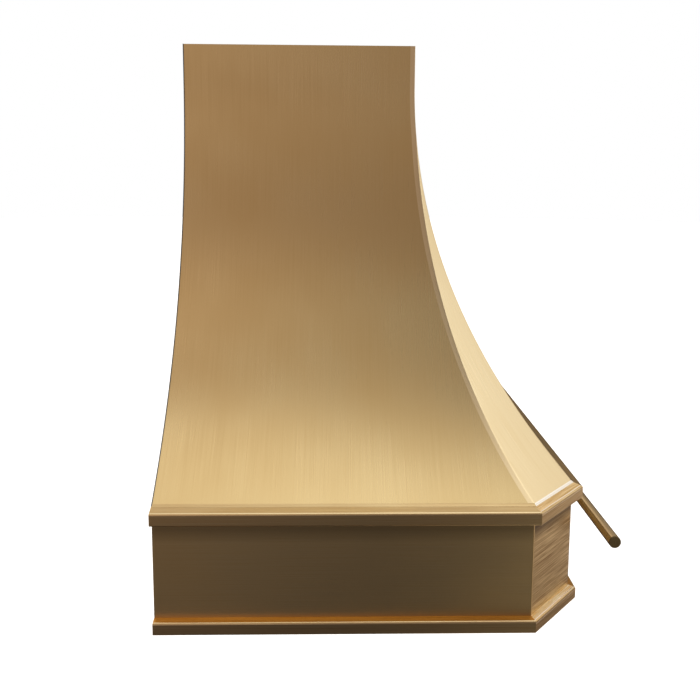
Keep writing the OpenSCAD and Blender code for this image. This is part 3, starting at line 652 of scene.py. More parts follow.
def canopy_corner(z):
    """The right-hand corner of the canopy's plan at height z, with depth counted from the wall:
    a flat point on the side, the two rounded creases, and a flat point on the front. Where the
    facet is too narrow for two creases, they blend into one."""
    s = sizes()
    start = HOOD_H - s.chimney_straight
    drop = start - APRON_H
    depth = max(0.0, start - z)
    facet_base = (CHIMNEY_HALF + CHIMNEY_D) / ROOT2 + s.facet_lead
    facet_run = (HALF_W + FACET_Y) / ROOT2 - facet_base
    x = CHIMNEY_HALF + sweep(HALF_W - CHIMNEY_HALF, depth, drop)
    y = CHIMNEY_D + sweep(HOOD_D - CHIMNEY_D, depth, drop)
    reach = ROOT2 * (facet_base + sweep(facet_run, depth, drop))
    first = Vector((x, min(reach - x, y)))
    last = Vector((min(reach - y, x), y))
    width = (last - first).length
    hold = s.crease_round
    inner = min(hold, width / 2)
    step = (last - first).normalized() if width > 1e-6 else Vector((0, 0))
    side_end = first - Vector((0, hold))
    front_end = last - Vector((hold, 0))
    creases = ([side_end, first, first + step * inner], [last - step * inner, last, front_end])
    sharp = [bezier(crease, i / FOLD_TURNS) for crease in creases for i in range(FOLD_TURNS + 1)]
    count = len(sharp) - 1
    whole = [bezier([side_end, first, last, front_end], i / count) for i in range(count + 1)]
    share = min(1.0, width / (2 * hold))
    rounded = [w.lerp(q, share) for w, q in zip(whole, sharp)]
    support = 3 * hold
    return [side_end - Vector((0, support))] + rounded + [front_end - Vector((support, 0))]


def canopy_heights():
    """Heights of the canopy's rows: close together on the sweep, wide apart on the chimney."""
    start = HOOD_H - sizes().chimney_straight
    swept, straight = 72, 6
    return ([APRON_H + (start - APRON_H) * i / swept for i in range(swept + 1)]
            + [start + (HOOD_H - start) * i / straight for i in range(1, straight + 1)])


def canopy_rows(part, mirror):
    """Rows of points for one canopy sheet: side, corner or front."""
    across_side, across_half = 10, 12
    rows = []
    for z in canopy_heights():
        corner = canopy_corner(z)
        if part == "side":
            edge = corner[0]
            plan = [Vector((edge.x, edge.y * i / across_side)) for i in range(across_side + 1)]
        elif part == "corner":
            plan = corner
        else:
            edge = corner[-1]
            plan = [Vector((edge.x * (1 - i / across_half), edge.y)) for i in range(2 * across_half + 1)]
        rows.append([Vector((mirror * p.x, -p.y, z)) for p in plan])
    return rows


class HOOD_OT_canopy(bpy.types.Operator):
    """Five brass sheets that sweep out from the chimney to the apron"""

    bl_idname = "hood.canopy"
    bl_label = "Canopy"

    def execute(self, context):
        for side, mirror in zip(SIDES, (-1, 1)):
            out = Vector((mirror, 0, 0))
            self.sheet("canopy_side_" + side, "side", mirror, out, TO_WALL)
            out = Vector((mirror, -1, 0)).normalized()
            across = Vector((mirror, 1, 0)).normalized()
            self.sheet("canopy_corner_" + side, "corner", mirror, out, across)
            self.seal(side, mirror)
        self.sheet("canopy_front", "front", 1, -TO_WALL, ALONG_WALL)
        return {"FINISHED"}

    def seal(self, side, mirror):
        """Edge of the steel back that shows as a thin line beside the sweep."""
        proud, lap, depth = 1.3 * MM, 0.5 * MM, 1.2 * MM
        rows = []
        for z in canopy_heights():
            x = canopy_corner(z)[0].x
            inner, outer = mirror * (x - lap), mirror * (x + proud)
            rows.append([Vector((inner, -depth, z)), Vector((outer, -depth, z)),
                         Vector((outer, 0, z)), Vector((inner, 0, z))])
        bm = loft(rows, Vector((mirror, 0, 0)), TO_WALL)
        piece("back_panel_edge_" + side, bm, "seal_steel", "galvanised_steel")

    def sheet(self, node, part, mirror, outward, across):
        bm = loft(canopy_rows(part, mirror), outward, across)
        # the corner sheets get the paler brass, partly a painted highlight
        finish = "corner_brass" if part == "corner" else "canopy_brass"
        obj = piece(node + "_sheet", bm, finish, "sheet_brass", nodes=(node,), smooth=60)
        thicken(obj, even=True)


# ---------------------------------------------------------------- apron and trims

def plan_corners(out):
    """The apron's outline moved outwards, from the wall on the left round to the wall on the
    right."""
    slip = out * math.tan(math.radians(22.5))
    right = [Vector((HALF_W - FACET_LEG + slip, -HOOD_D - out)),
             Vector((HALF_W + out, -FACET_Y - slip)), Vector((HALF_W + out, 0))]
    return [Vector((-p.x, p.y)) for p in reversed(right)] + right


def rounded_fold(before, corner, after, reach):
    """A fold in plan, rounded over reach on both sides, with a flat point beside it."""
    back = (before - corner).normalized()
    ahead = (after - corner).normalized()
    ends = [corner + back * reach, corner, corner + ahead * reach]
    curve = [bezier(ends, i / FOLD_TURNS) for i in range(FOLD_TURNS + 1)]
    return [corner + back * 3 * reach] + curve + [corner + ahead * 3 * reach]


class HOOD_OT_apron(bpy.types.Operator):
    """Upright apron: two sides, and a front that is folded round both corner facets"""

    bl_idname = "hood.apron"
    bl_label = "Apron"

    def execute(self, context):
        reach = sizes().fold_round
        p = plan_corners(0)
        folds = [rounded_fold(p[k - 1], p[k], p[k + 1], reach) for k in (2, 3)]
        sheet = self.strip("apron_front", [p[1], *folds[0], *folds[1], p[4]], -TO_WALL, "facet_brass")
        sheet.materials.append(finish_of("apron_brass"))
        for face in sheet.polygons:
            face.material_index = int(face.normal.y < -0.99)
        for side, mirror in zip(SIDES, (-1, 1)):
            plan = [Vector((mirror * HALF_W, -FACET_Y * i / 8)) for i in range(9)]
            self.strip("apron_side_" + side, plan, Vector((mirror, 0, 0)), "apron_brass")
        return {"FINISHED"}

    def strip(self, node, plan, outward, finish):
        rows = [[Vector((p.x, p.y, APRON_H * i / 4)) for p in plan] for i in range(5)]
        bm = loft(rows, outward)
        obj = piece(node + "_sheet", bm, finish, "sheet_brass", nodes=(node,), smooth=60)
        thicken(obj, even=False)
        soften(obj, 0.3 * MM)
        return obj.data


# Finishes of a trim's face and ledge, by its level and whether it is a corner length. The corner ledges
# get bright copies of the brass, painted highlights for the light they catch.
TRIM_FINISHES = {
    ("upper", False): ("trim_brass", "trim_brass"),
    ("upper", True): ("corner_trim_brass", "corner_ledge_highlight_brass"),
    ("lower", False): ("low_trim_brass", "warm_ledge_brass"),
    ("lower", True): ("low_corner_brass", "low_corner_ledge_highlight_brass"),
}
LENGTHS = ("side_left", "corner_left", "front", "corner_right", "side_right")
CORNER_LENGTHS = (1, 3)


class HOOD_OT_trims(bpy.types.Operator):
    """Upper and lower trims: folded brass in mitred lengths, each with a sloped ledge"""

    bl_idname = "hood.trims"
    bl_label = "Trims"

    def execute(self, context):
        for level in ("upper", "lower"):
            low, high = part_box(level + "_trim_front")
            for i in range(len(LENGTHS)):
                self.length(level, i, low.z, high.z, -low.y - HOOD_D)
        return {"FINISHED"}

    def length(self, level, i, bottom, top, out):
        """One length: the section is extruded past both ends and cut back to the mitres."""
        inner, outer = plan_corners(0), plan_corners(out)
        start, end = inner[i], inner[i + 1]
        along = (end - start).normalized()
        outward = Vector((along.y, -along.x))
        if outward.dot(start + end) < 0:
            outward = -outward
        way = Vector((*along, 0))
        first = start - along * 2 * out
        bm = bmesh.new()
        section = self.section(bottom, top, out)
        cap = bm.faces.new([bm.verts.new((*(first + outward * o), z)) for o, z in section])
        made = bmesh.ops.extrude_face_region(bm, geom=[cap])["geom"]
        moved = [g for g in made if isinstance(g, bmesh.types.BMVert)]
        bmesh.ops.translate(bm, verts=moved, vec=way * ((end - start).length + 4 * out))
        folds = [e for e in bm.edges
                 if abs((e.verts[1].co - e.verts[0].co).normalized().dot(way)) > 0.99
                 and any((v.co.xy - start).dot(outward) > out - 0.1 * MM for v in e.verts)]
        bmesh.ops.bevel(bm, geom=folds, offset=sizes().trim_edge, offset_type="OFFSET", segments=4,
                        profile=0.5, affect="EDGES", clamp_overlap=True, material=-1)
        for k, sign in ((i, -1), (i + 1, 1)):
            self.mitre(bm, inner[k], self.cut_normal(k, inner[k], outer[k]), way * sign)
        bmesh.ops.recalc_face_normals(bm, faces=bm.faces)
        grain_map(bm, way)
        face_finish, ledge_finish = TRIM_FINISHES[level, i in CORNER_LENGTHS]
        node = f"{level}_trim_{LENGTHS[i]}"
        obj = piece(node + "_fold", bm, face_finish, "sheet_brass", nodes=(node,), smooth=30)
        obj.data.materials.append(finish_of(ledge_finish))
        for face in obj.data.polygons:
            on_ledge = face.normal.z > 0.8 and face.center.z > bottom + sizes().trim_face / 2
            face.material_index = int(on_ledge)
        obj.modifiers.new("Flat faces stay flat", "WEIGHTED_NORMAL").keep_sharp = True

    def section(self, bottom, top, out):
        """The folded sheet's section as (distance from the apron, height): an upright face with
        a flange under it and a sloped ledge over it."""
        face_top, t = bottom + sizes().trim_face, SHEET
        return ((0, bottom), (out, bottom), (out, face_top), (0, top),
                (0, top - t), (out - t, face_top - t), (out - t, bottom + t), (0, bottom + t))

    def cut_normal(self, k, inner, outer):
        """Normal of the cut at a corner of the outline: square at the wall, mitred elsewhere."""
        spread = outer - inner
        return TO_WALL if k in (0, 5) else Vector((-spread.y, spread.x, 0)).normalized()

    def mitre(self, bm, place, normal, outwards):
        """Cuts off what lies outwards of a plane through place, and closes the cut."""
        if normal.dot(outwards) < 0:
            normal = -normal
        cut = bmesh.ops.bisect_plane(
            bm, geom=bm.verts[:] + bm.edges[:] + bm.faces[:], plane_co=(*place, 0), plane_no=normal,
            clear_outer=True)["geom_cut"]
        rim = [g for g in cut if isinstance(g, bmesh.types.BMEdge)]
        bmesh.ops.triangle_fill(bm, edges=rim, use_beauty=True, use_dissolve=True)


class HOOD_OT_edges(bpy.types.Operator):
    """Painted highlights: lighter strips along the rims of both ledges, along the canopy's foot and over
    the apron's folds, for the light that these rounded edges catch
    """

    bl_idname = "hood.edges"
    bl_label = "Painted edge highlights"

    def execute(self, context):
        for level in ("upper", "lower"):
            low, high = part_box(level + "_trim_front")
            out = -low.y - HOOD_D
            fall = (high.z - low.z - sizes().trim_face) / out
            self.run(level + "_ledge_rim_highlight", self.rim, (out, high.z, fall), "rim_highlight_brass", 1.7)
            if level == "upper":
                self.run("canopy_foot_highlight", self.foot, (high.z, fall), "trim_brass", 0.85)
        self.folds(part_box("lower_trim_front")[1].z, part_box("upper_trim_front")[0].z)
        return {"FINISHED"}

    def rim(self, w, out, top, fall):
        """Section of the ledge's outer rim, from on the ledge over the edge and down the face."""
        return ((out - w, top - (out - w) * fall + 0.1 * MM),
                (out - 0.6 * w, top - (out - 0.6 * w) * fall - 0.05 * MM),
                (out - 0.1 * w, top - out * fall - 0.45 * w),
                (out + 0.1 * MM, top - out * fall - 0.75 * w))

    def foot(self, w, top, fall):
        """Section of the hollow between the ledge and the canopy."""
        return ((w, top - w * fall + 0.1 * MM), (0.4 * w, top + 0.15 * w),
                (-0.35 * w, top + 0.55 * w), (-0.8 * w, top + w))

    def run(self, name, section, where, finish, corner_width):
        """One lighter strip along each of the five lengths, mitred at the corners: a painted highlight.
        The corner lengths face the light, so their strips are painted brighter and corner_width times
        as wide. section gives the points of a strip of some width."""
        for i in range(len(LENGTHS)):
            corner = i in CORNER_LENGTHS
            width = sizes().highlight_strip_width * (corner_width if corner else 1.0)
            rows = [[Vector((*p, z)) for p in plan_corners(out)[i:i + 2]]
                    for out, z in section(width, *where)]
            bm = loft(rows, UP)
            finished = "edge_glint_brass" if corner else finish
            piece(f"{name}_{i}", bm, finished, "sheet_brass", smooth=60)

    def folds(self, bottom, top):
        """Painted highlight: a lighter strip over the crease of each fold of the apron, for the light
        that the fold's rounding catches.
        """
        inner, outer = plan_corners(0), plan_corners(0.25 * MM)
        half = 1.3 * MM
        for k in (1, 2, 3, 4):
            before = (inner[k - 1] - inner[k]).normalized() * half
            after = (inner[k + 1] - inner[k]).normalized() * half
            plan = (inner[k] + before, outer[k] + before * 0.5, outer[k] + after * 0.5, inner[k] + after)
            rows = [[Vector((*q, bottom + (top - bottom) * i / 4)) for q in plan] for i in range(5)]
            bm = loft(rows, Vector((*(outer[k] - inner[k]), 0)))
            piece(f"apron_fold_highlight_{k}", bm, "trim_brass", "sheet_brass", smooth=60)


# ---------------------------------------------------------------- rail

class HOOD_OT_rail(bpy.types.Operator):
    """Brass tube with flat caps, on two turned posts"""

    bl_idname = "hood.rail"
    bl_label = "Rail"

    def execute(self, context):
        low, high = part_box("rail_tube")
        middle = middle_of(low, high)
        radius = (high.z - low.z) / 2
        wall = 1.5 * MM
        length = high.x - low.x
        profile = [(radius - wall, 0), (radius, 0), (radius, length / 3), (radius, 2 * length / 3),
                   (radius, length), (radius - wall, length), (radius - wall, 0)]
        turned("rail_tube_drawn", profile, (low.x, middle.y, middle.z), ALONG_WALL, "rail_brass",
               nodes=("rail_tube",), smooth=30)
        for side, way in zip(SIDES, (-1, 1)):
            self.cap(side, way, middle, radius, wall)
            self.post(side, middle, radius)
        return {"FINISHED"}

    def cap(self, side, way, middle, radius, wall):
        """A flat end cap with a rounded edge, and a plug that sits inside the tube."""
        low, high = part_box("rail_cap_" + side)
        tip = low.x if way < 0 else high.x
        length, head = high.x - low.x, 2 * MM
        plug = radius - wall - 0.1 * MM
        edge = 0.6 * MM
        arc = [(radius - edge + edge * math.sin(a), edge - edge * math.cos(a))
               for a in (math.pi / 8 * i for i in range(5))]
        profile = [(0, 0), (radius - 2 * edge, 0), *arc,
                   (radius, head), (plug, head), (plug, length), (0, length)]
        turned(f"rail_cap_{side}_turned", profile, (tip, middle.y, middle.z), (-way, 0, 0), "cap_tarnish_and_shade_brass",
               "rail_brass", grain=UP, nodes=("rail_cap_" + side,), smooth=30)

    def post(self, side, middle, radius):
        """A turned rosette and stem that runs into a barrel round the tube."""
        low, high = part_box("rail_post_" + side)
        x = (low.x + high.x) / 2
        stand = high.y - middle.y
        rosette = (high.x - low.x) / 2
        eye = radius + 4 * MM
        stem, neck = 7 * MM, 7.8 * MM
        end = stand - radius - 0.5 * MM
        profile = [(0, 0), (rosette - 0.6 * MM, 0), (rosette, 0.6 * MM), (rosette, 2.4 * MM),
                   (rosette - 1.0 * MM, 3.6 * MM), (rosette - 3.5 * MM, 4.2 * MM),
                   (stem + 3.0 * MM, 5.0 * MM), (stem + 1.0 * MM, 7.0 * MM), (stem, 10 * MM),
                   (stem, stand - eye - 4 * MM), (neck, stand - eye), (neck, end), (0, end)]
        turned(f"rail_post_{side}_turned", profile, (x, high.y, middle.z), -TO_WALL, "rail_brass",
               steps=48, grain=TO_WALL, nodes=("rail_post_" + side,), smooth=35)
        bore, half, edge = radius + 0.05 * MM, 9 * MM, 1.2 * MM
        ring = [(bore, -half), (eye - edge, -half), (eye - 0.3 * edge, -half + 0.3 * edge),
                (eye, -half + edge), (eye, half - edge), (eye - 0.3 * edge, half - 0.3 * edge),
                (eye - edge, half), (bore, half), (bore, -half)]
        turned(f"rail_eye_{side}", ring, (x, middle.y, middle.z), ALONG_WALL, "rail_brass", smooth=35)


# ---------------------------------------------------------------- everything inside

class HOOD_OT_frames(bpy.types.Operator):
    """Back panel, wall rails, angle frames and the rail's fixings"""

    bl_idname = "hood.frames"
    bl_label = "Frames and back"

    def execute(self, context):
        for node in ("back_panel", "wall_rail_upper", "wall_rail_lower", "top_frame", "base_frame",
                     "rail_post_bolts"):
            dressed(node, "galvanised_steel")
        dressed("rail_set_screws", "rail_brass", edge=0.1 * MM)
        return {"FINISHED"}


class HOOD_OT_insert(bpy.types.Operator):
    """Stainless insert: sheet, plenum, screws, grease cups, lamps and push buttons"""

    bl_idname = "hood.insert"
    bl_label = "Insert"

    def execute(self, context):
        for node in ("liner_pan", "plenum", "control_plate", "lamp_housings"):
            dressed(node, "stainless_steel")
        dressed("liner_screws", "stainless_steel", edge=0.5 * MM)
        self.sockets()
        for side in SIDES:
            dressed("grease_cup_" + side, "stainless_steel", "cup_" + side)
            self.lamp(side)
        for name in BUTTONS:
            self.button(name)
        return {"FINISHED"}

    def sockets(self):
        """Painted shade: a flat black hexagon under each screw's head, standing for the dark well of its
        socket seen from below.
        """
        shapes = []
        for low, high in islands("liner_screws"):
            middle = middle_of(low, high)
            middle.z = low.z - 0.02 * MM
            radius = 0.42 * (high.x - low.x) / 2
            shapes.append(spun([(0, 0), (radius, 0)], middle, DOWN, 6))
        together("liner_screw_socket_shades", shapes, "socket_shade_black", "stainless_steel")

    def lamp(self, side):
        """A slightly domed lens in a rounded bezel."""
        low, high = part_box("lamp_lens_" + side)
        middle = middle_of(low, high)
        middle.z = high.z
        radius, deep = (high.x - low.x) / 2, high.z - low.z
        edge, dome = 0.6 * MM, 0.7 * MM
        lens = [(0, 0), (radius, 0), (radius, deep - edge), (radius - edge, deep)]
        lens += [(radius * k / 4, deep + dome * (1 - (k / 4) ** 2)) for k in (3, 2, 1, 0)]
        turned(f"lamp_lens_{side}_pressed", lens, middle, DOWN, "lamp_glass",
               nodes=("lamp_lens_" + side,), smooth=35)
        rim, proud = radius + 5.4 * MM, deep + 0.9 * MM
        seat = (radius + 0.3 * MM, deep - 0.4 * MM)
        bezel = [seat, (radius + 0.5 * MM, proud - 0.3 * MM), (radius + 1.2 * MM, proud),
                 (rim - 1.4 * MM, proud - 0.1 * MM), (rim - 0.4 * MM, proud - 0.7 * MM),
                 (rim, proud - 1.6 * MM), (rim, 0.6 * MM), (radius + 4 * MM, 0.6 * MM), seat]
        turned(f"lamp_bezel_{side}", bezel, middle, DOWN, "stainless_steel", steps=96)

    def button(self, name):
        """A push button with a dished face, in a raised ring on the plate."""
        low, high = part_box("button_" + name)
        middle = middle_of(low, high)
        middle.z = high.z
        flange, flange_deep = (high.x - low.x) / 2, 3 * MM
        radius = flange - 2 * MM
        deep = high.z - low.z
        dish = [(radius * k / 5, deep - 1.1 * MM * (1 - (k / 5) ** 2)) for k in (3, 2, 1, 0)]
        cap = [(0, 0), (flange, 0), (flange, flange_deep), (radius, flange_deep),
               (radius, deep - 1.2 * MM), (radius - 0.35 * MM, deep - 0.35 * MM),
               (radius - 1.2 * MM, deep), *dish]
        turned(f"button_{name}_moulded", cap, middle, DOWN, "button_plastic", steps=48,
               body=name + "_button", nodes=("button_" + name,), smooth=35)
        inner, outer = radius + 0.45 * MM, radius + 2.6 * MM
        ring = [(inner, 0), (inner, 0.7 * MM), (inner + 0.5 * MM, 1.1 * MM),
                (outer - 0.7 * MM, 0.9 * MM), (outer, 0)]
        middle.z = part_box("control_plate")[0].z
        turned(f"button_ring_{name}", ring, middle, DOWN, "stainless_steel", steps=48)


class HOOD_OT_filters(bpy.types.Operator):
    """Three baffle filters with wire handles"""

    bl_idname = "hood.filters"
    bl_label = "Filters"

    def execute(self, context):
        for name in FILTERS:
            unit = "filter_unit_" + name
            dressed("filter_" + name, "stainless_steel", unit, TO_WALL)
            self.corner_rivets(name, unit)
            dressed("filter_baffles_" + name, "stainless_steel", unit, TO_WALL, edge=0.2 * MM)
            dressed("filter_handle_" + name, "stainless_steel", "handle_" + name, edge=0)
        return {"FINISHED"}

    def corner_rivets(self, name, unit):
        low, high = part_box("filter_" + name)
        inset = 9 * MM
        places = [(x, y, high.z) for x in (low.x + inset, high.x - inset)
                  for y in (low.y + inset, high.y - inset)]
        rivets(f"filter_rivets_{name}", places, UP, 2.4 * MM, "stainless_steel", unit)


class HOOD_OT_blower(bpy.types.Operator):
    """Blower box, scroll, impeller, motor, duct collar and damper"""

    bl_idname = "hood.blower"
    bl_label = "Blower"

    def execute(self, context):
        for node in ("blower_box", "scroll_housing", "duct_collar"):
            dressed(node, "galvanised_steel")
        self.box_rivets()
        self.collar_bead()
        for node, body in (("damper_pins", "hood"), ("damper_flap_front", "flap_front"),
                           ("damper_flap_rear", "flap_rear")):
            dressed(node, "stainless_steel", body, edge=0.2 * MM)
        dressed("impeller", "galvanised_steel", "rotor", edge=0)
        dressed("motor_shaft", "ground_steel", "rotor")
        dressed("motor", "motor_enamel", edge=1.0 * MM, segments=3)
        return {"FINISHED"}

    def box_rivets(self):
        """Rivets down the corners of the box's front, and round the collar's flange."""
        low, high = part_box("blower_box")
        inset, radius = 10 * MM, 2.6 * MM
        heights = [low.z + (high.z - low.z) * (i + 0.5) / 5 for i in range(5)]
        places = [(x, low.y, z) for x in (low.x + inset, high.x - inset) for z in heights]
        rivets("blower_box_rivets", places, -TO_WALL, radius, "galvanised_steel")
        top = high.z + 1.2 * MM
        low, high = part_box("duct_collar")
        inset = 6 * MM
        places = [(x, y, top) for x in (low.x + inset, high.x - inset)
                  for y in (low.y + inset, (low.y + high.y) / 2, high.y - inset)]
        rivets("duct_collar_rivets", places, UP, radius, "galvanised_steel")

    def collar_bead(self):
        """The rolled bead round the collar that a duct is clamped behind."""
        low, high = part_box("duct_collar")
        middle = middle_of(low, high)
        middle.z = high.z - 14 * MM
        inner = (high.x - low.x) / 2 - 12 * MM - 0.2 * MM
        proud, half = 1.6 * MM, 3 * MM
        bead = [(inner + proud * math.sin(math.pi * i / 8), half * (i / 4 - 1)) for i in range(9)]
        turned("duct_collar_bead", bead, middle, UP, "galvanised_steel", steps=96, grain=UP)


# ---------------------------------------------------------------- stage

# The studio's light by the height of a direction's unit vector: a dim lower half, a grey band and
# a bright ceiling beside the hood, and a paler room ahead of it
SIDE_LIGHT = (
    (-1.0, "#2A2828"), (-0.57, "#373232"), (-0.47, "#5F595A"), (-0.1, "#655E60"), (0.1, "#B8A69F"),
    (0.25, "#B09E94"), (0.45, "#9D8C86"), (0.55, "#9A8981"), (0.62, "#807167"), (0.74, "#786A61"),
    (0.8, "#7F7067"), (0.84, "#9D8F85"), (0.868, "#EDE6E1"), (0.92, "#F8F3EE"), (1.0, "#FFFFFF"))
FRONT_LIGHT = (
    (-1.0, "#4A4038"), (-0.6, "#6E6058"), (-0.53, "#6C5B4E"), (-0.46, "#A09186"), (-0.41, "#CDBBAD"),
    (-0.1, "#CDBDB0"), (0.15, "#DED6CE"), (0.3, "#FFFFFF"), (1.0, "#FFFFFF"))


class HOOD_OT_stage(bpy.types.Operator):
    """Pale floor, soft studio light and the camera"""

    bl_idname = "hood.stage"
    bl_label = "Stage"

    def execute(self, context):
        s = context.scene.hood_stage
        self.camera(context, s)
        self.floor(s)
        self.surroundings(context, s)
        self.softbox("Front softbox", (-1.3, -2.6, 0.8), (-0.3, -0.5, 0.4), 1.4, s.front_box)
        self.softbox("Top softbox", (-1.8, -0.3, 2.8), (0, -0.3, 0.4), 2.0, s.top_box)
        context.scene.view_settings.view_transform = "Standard"
        return {"FINISHED"}

    def camera(self, context, s):
        pitch, yaw = s.camera_pitch, s.camera_yaw
        ahead = Vector((
            math.cos(pitch) * math.cos(yaw), -math.cos(pitch) * math.sin(yaw), -math.sin(pitch)))
        right = Vector((-math.sin(yaw), -math.cos(yaw), 0))
        up = right.cross(ahead)
        lean_right = right * math.cos(s.camera_roll) + up * math.sin(s.camera_roll)
        lean_up = up * math.cos(s.camera_roll) - right * math.sin(s.camera_roll)
        data = bpy.data.cameras.new("Camera")
        data.lens = s.camera_lens
        data.shift_x, data.shift_y = s.camera_shift
        camera = bpy.data.objects.new("Camera", data)
        turn = Matrix((lean_right, lean_up, -ahead)).transposed().to_4x4()
        camera.matrix_world = Matrix.Translation(s.camera_place) @ turn
        context.scene.collection.objects.link(camera)
        context.scene.camera = camera

    def floor(self, s):
        """A pale painted floor. Its glow stands for the light that a bright studio floor collects."""
        bm = bmesh.new()
        bmesh.ops.create_circle(bm, cap_ends=True, segments=96, radius=30)
        bmesh.ops.translate(bm, verts=bm.verts, vec=(0, 0, -s.floor_drop))
        mesh = bpy.data.meshes.new("floor")
        bm.to_mesh(mesh)
        bm.free()
        floor = bpy.data.objects.new("floor", mesh)
        bpy.context.scene.collection.objects.link(floor)
        material, tree, shader = new_material(
            "Pale painted floor",
            {"Base Color": linear_colour("#F4F4F2"), "Roughness": 0.9,
             "Emission Color": linear_colour("#FFFFFF"), "Emission Strength": 0.7})
        mesh.materials.append(material)
        floor.visible_glossy = False

    def surroundings(self, context, s):
        """The studio that the brass mirrors: soft light that changes with direction, and plain
        white where it is seen directly."""
        world = bpy.data.worlds.new("Studio")
        context.scene.world = world
        world.use_nodes = True
        tree = world.node_tree
        tree.nodes.clear()
        way = add_node(tree, "ShaderNodeTexCoord").outputs["Generated"]
        x, y, z = add_node(tree, "ShaderNodeSeparateXYZ", links={"Vector": way}).outputs
        level = maths(tree, "SQRT", maths(tree, "ADD", product(tree, x, x), product(tree, y, y)))
        turn = maths(tree, "DIVIDE", y, level)
        beside = self.beside(tree, x, y, z)
        ahead = self.scaled(
            tree, self.heights(tree, z, FRONT_LIGHT), ranged(tree, z, 0.3, 0.9, 1.0, 1.45))
        # the room's side gives way to its front, sooner under the ceiling than lower down
        overhead = product(tree, fade(tree, turn, -0.35, -0.6), ranged(tree, z, 0.78, 0.88, 0.0, 0.6))
        beside = mixed(tree, overhead, beside, ahead)
        around = mixed(tree, fade(tree, turn, -0.78, -0.94), beside, ahead)
        # a low glow between side and front, mirrored by the apron's facets
        glow = product(tree, fade(tree, turn, -0.42, -0.6), fade(tree, turn, -0.9, -0.75))
        glow = maths(tree, "ADD", glow, ranged(tree, turn, -0.1, -0.3, 0.0, 0.05))
        glow = product(tree, glow, fade(tree, z, 0.2, -0.1))
        around = mixed(tree, glow, around, linear_colour("#FFF4E6"))
        # a dark end to the room with a bright upper strip, mirrored along the rail
        lit_side = product(tree, fade(tree, z, 0.08, 0.3), ranged(tree, y, -0.25, 0.15, 0.3, 1.0))
        strip = mixed(tree, lit_side, linear_colour("#463C34"), linear_colour("#FFF2DC"))
        around = mixed(tree, fade(tree, x, 0.74, 0.84), around, strip)
        lit = add_node(tree, "ShaderNodeBackground", {"Strength": s.soft_light}, {"Color": around})
        seen = add_node(
            tree, "ShaderNodeBackground", {"Color": linear_colour("#FFFFFF"), "Strength": 1.0})
        ray = add_node(tree, "ShaderNodeLightPath").outputs["Is Camera Ray"]
        both = add_node(
            tree, "ShaderNodeMixShader", links={0: ray, 1: lit.outputs[0], 2: seen.outputs[0]})
        add_node(tree, "ShaderNodeOutputWorld", links={"Surface": both.outputs[0]})

    def beside(self, tree, x, y, z):
        """The room beside the hood. Its bands tilt and change in strength from the wall towards
        the front, where a pale surface stands, and its middle heights are warmer there."""
        rise = product(tree, y, ranged(tree, z, 0.55, 0.78, 0.0, 0.14))
        light = self.heights(tree, maths(tree, "ADD", z, rise), SIDE_LIGHT)
        stops = maths(tree, "SUBTRACT", ranged(tree, z, 0.45, 0.64, 0.65, 2.0),
                      ranged(tree, z, 0.7, 0.89, 0.0, 2.0))
        stops = product(tree, stops, ranged(tree, y, -0.2, 0.22, -1.0, 1.0))
        light = self.scaled(tree, light, maths(tree, "POWER", 2.0, stops))
        pale = product(tree, fade(tree, x, 0.3, 0.55), ranged(tree, y, -0.02, -0.4, 0.04, 0.95))
        light = mixed(tree, pale, light, linear_colour("#F4EBD8"))
        warmth = product(
            tree, fade(tree, y, 0.0, -0.2), fade(tree, z, 0.5, 0.6), fade(tree, z, 0.88, 0.8))
        warm = mixed(tree, warmth, linear_colour("#FFFFFF"), linear_colour("#FFE3CE"))
        return add_node(
            tree, "ShaderNodeVectorMath", {"operation": "MULTIPLY"}, {0: light, 1: warm}).outputs[0]

    def scaled(self, tree, colour, factor):
        return add_node(
            tree, "ShaderNodeVectorMath", {"operation": "SCALE"},
            {0: colour, "Scale": factor}).outputs[0]

    def heights(self, tree, z, stops):
        """A colour for each height that a ray looks up or down to."""
        ramp = add_node(
            tree, "ShaderNodeValToRGB", links={"Fac": ranged(tree, z, -1.0, 1.0, 0.0, 1.0)})
        points = ramp.color_ramp.elements
        points.remove(points[1])
        for k, (level, colour) in enumerate(stops):
            point = points[0] if k == 0 else points.new((level + 1) / 2)
            point.position = (level + 1) / 2
            point.color = linear_colour(colour)
        return ramp.outputs[0]

    def softbox(self, name, place, target, size, power):
        data = bpy.data.lights.new(name, "AREA")
        data.shape = "SQUARE"
        data.size = size
        data.energy = power
        light = bpy.data.objects.new(name, data)
        light.location = place
        aim = Vector(target) - Vector(place)
        light.rotation_euler = aim.to_track_quat("-Z", "Y").to_euler()
        bpy.context.scene.collection.objects.link(light)


# ---------------------------------------------------------------- add-on

class HOOD_PT_panel(bpy.types.Panel):
    """Lists the hood's steps and settings"""

    bl_label = "Brass Range Hood"
    bl_idname = "HOOD_PT_panel"
    bl_space_type = "VIEW_3D"
    bl_region_type = "UI"
    bl_category = "Hood"

    def draw(self, context):
        layout = self.layout
        for step in STEPS:
            layout.operator(step.bl_idname)
        scene = context.scene
        for title, group in (("Sizes", scene.hood_sizes), ("Finishes", scene.hood_finishes),
                             ("Stage", scene.hood_stage)):
            box = layout.box()
            box.label(text=title)
            for name in group.__annotations__:
                box.prop(group, name)


STEPS = (
    HOOD_OT_stage, HOOD_OT_canopy, HOOD_OT_apron, HOOD_OT_trims, HOOD_OT_edges, HOOD_OT_rail,
    HOOD_OT_frames, HOOD_OT_insert, HOOD_OT_filters, HOOD_OT_blower)
GROUPS = (HoodSizes, HoodFinishes, HoodStage)


def register():
    for item in GROUPS + STEPS + (HOOD_PT_panel,):
        bpy.utils.register_class(item)
    bpy.types.Scene.hood_sizes = bpy.props.PointerProperty(type=HoodSizes)
    bpy.types.Scene.hood_finishes = bpy.props.PointerProperty(type=HoodFinishes)
    bpy.types.Scene.hood_stage = bpy.props.PointerProperty(type=HoodStage)


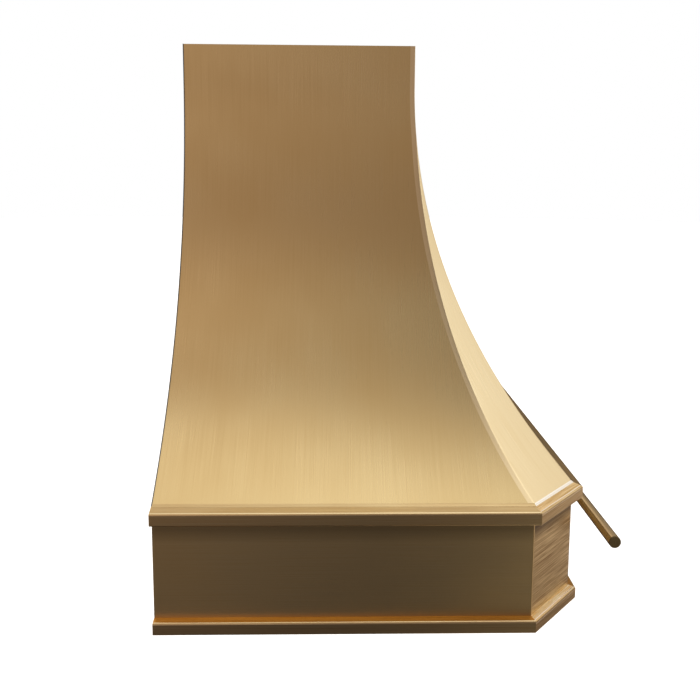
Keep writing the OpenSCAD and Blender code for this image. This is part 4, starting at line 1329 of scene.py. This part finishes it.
def unregister():
    del bpy.types.Scene.hood_sizes
    del bpy.types.Scene.hood_finishes
    del bpy.types.Scene.hood_stage
    for item in reversed(GROUPS + STEPS + (HOOD_PT_panel,)):
        bpy.utils.unregister_class(item)


def main():
    register()
    for step in STEPS:
        group, name = step.bl_idname.split(".")
        getattr(getattr(bpy.ops, group), name)()


if __name__ == "__main__":
    main()
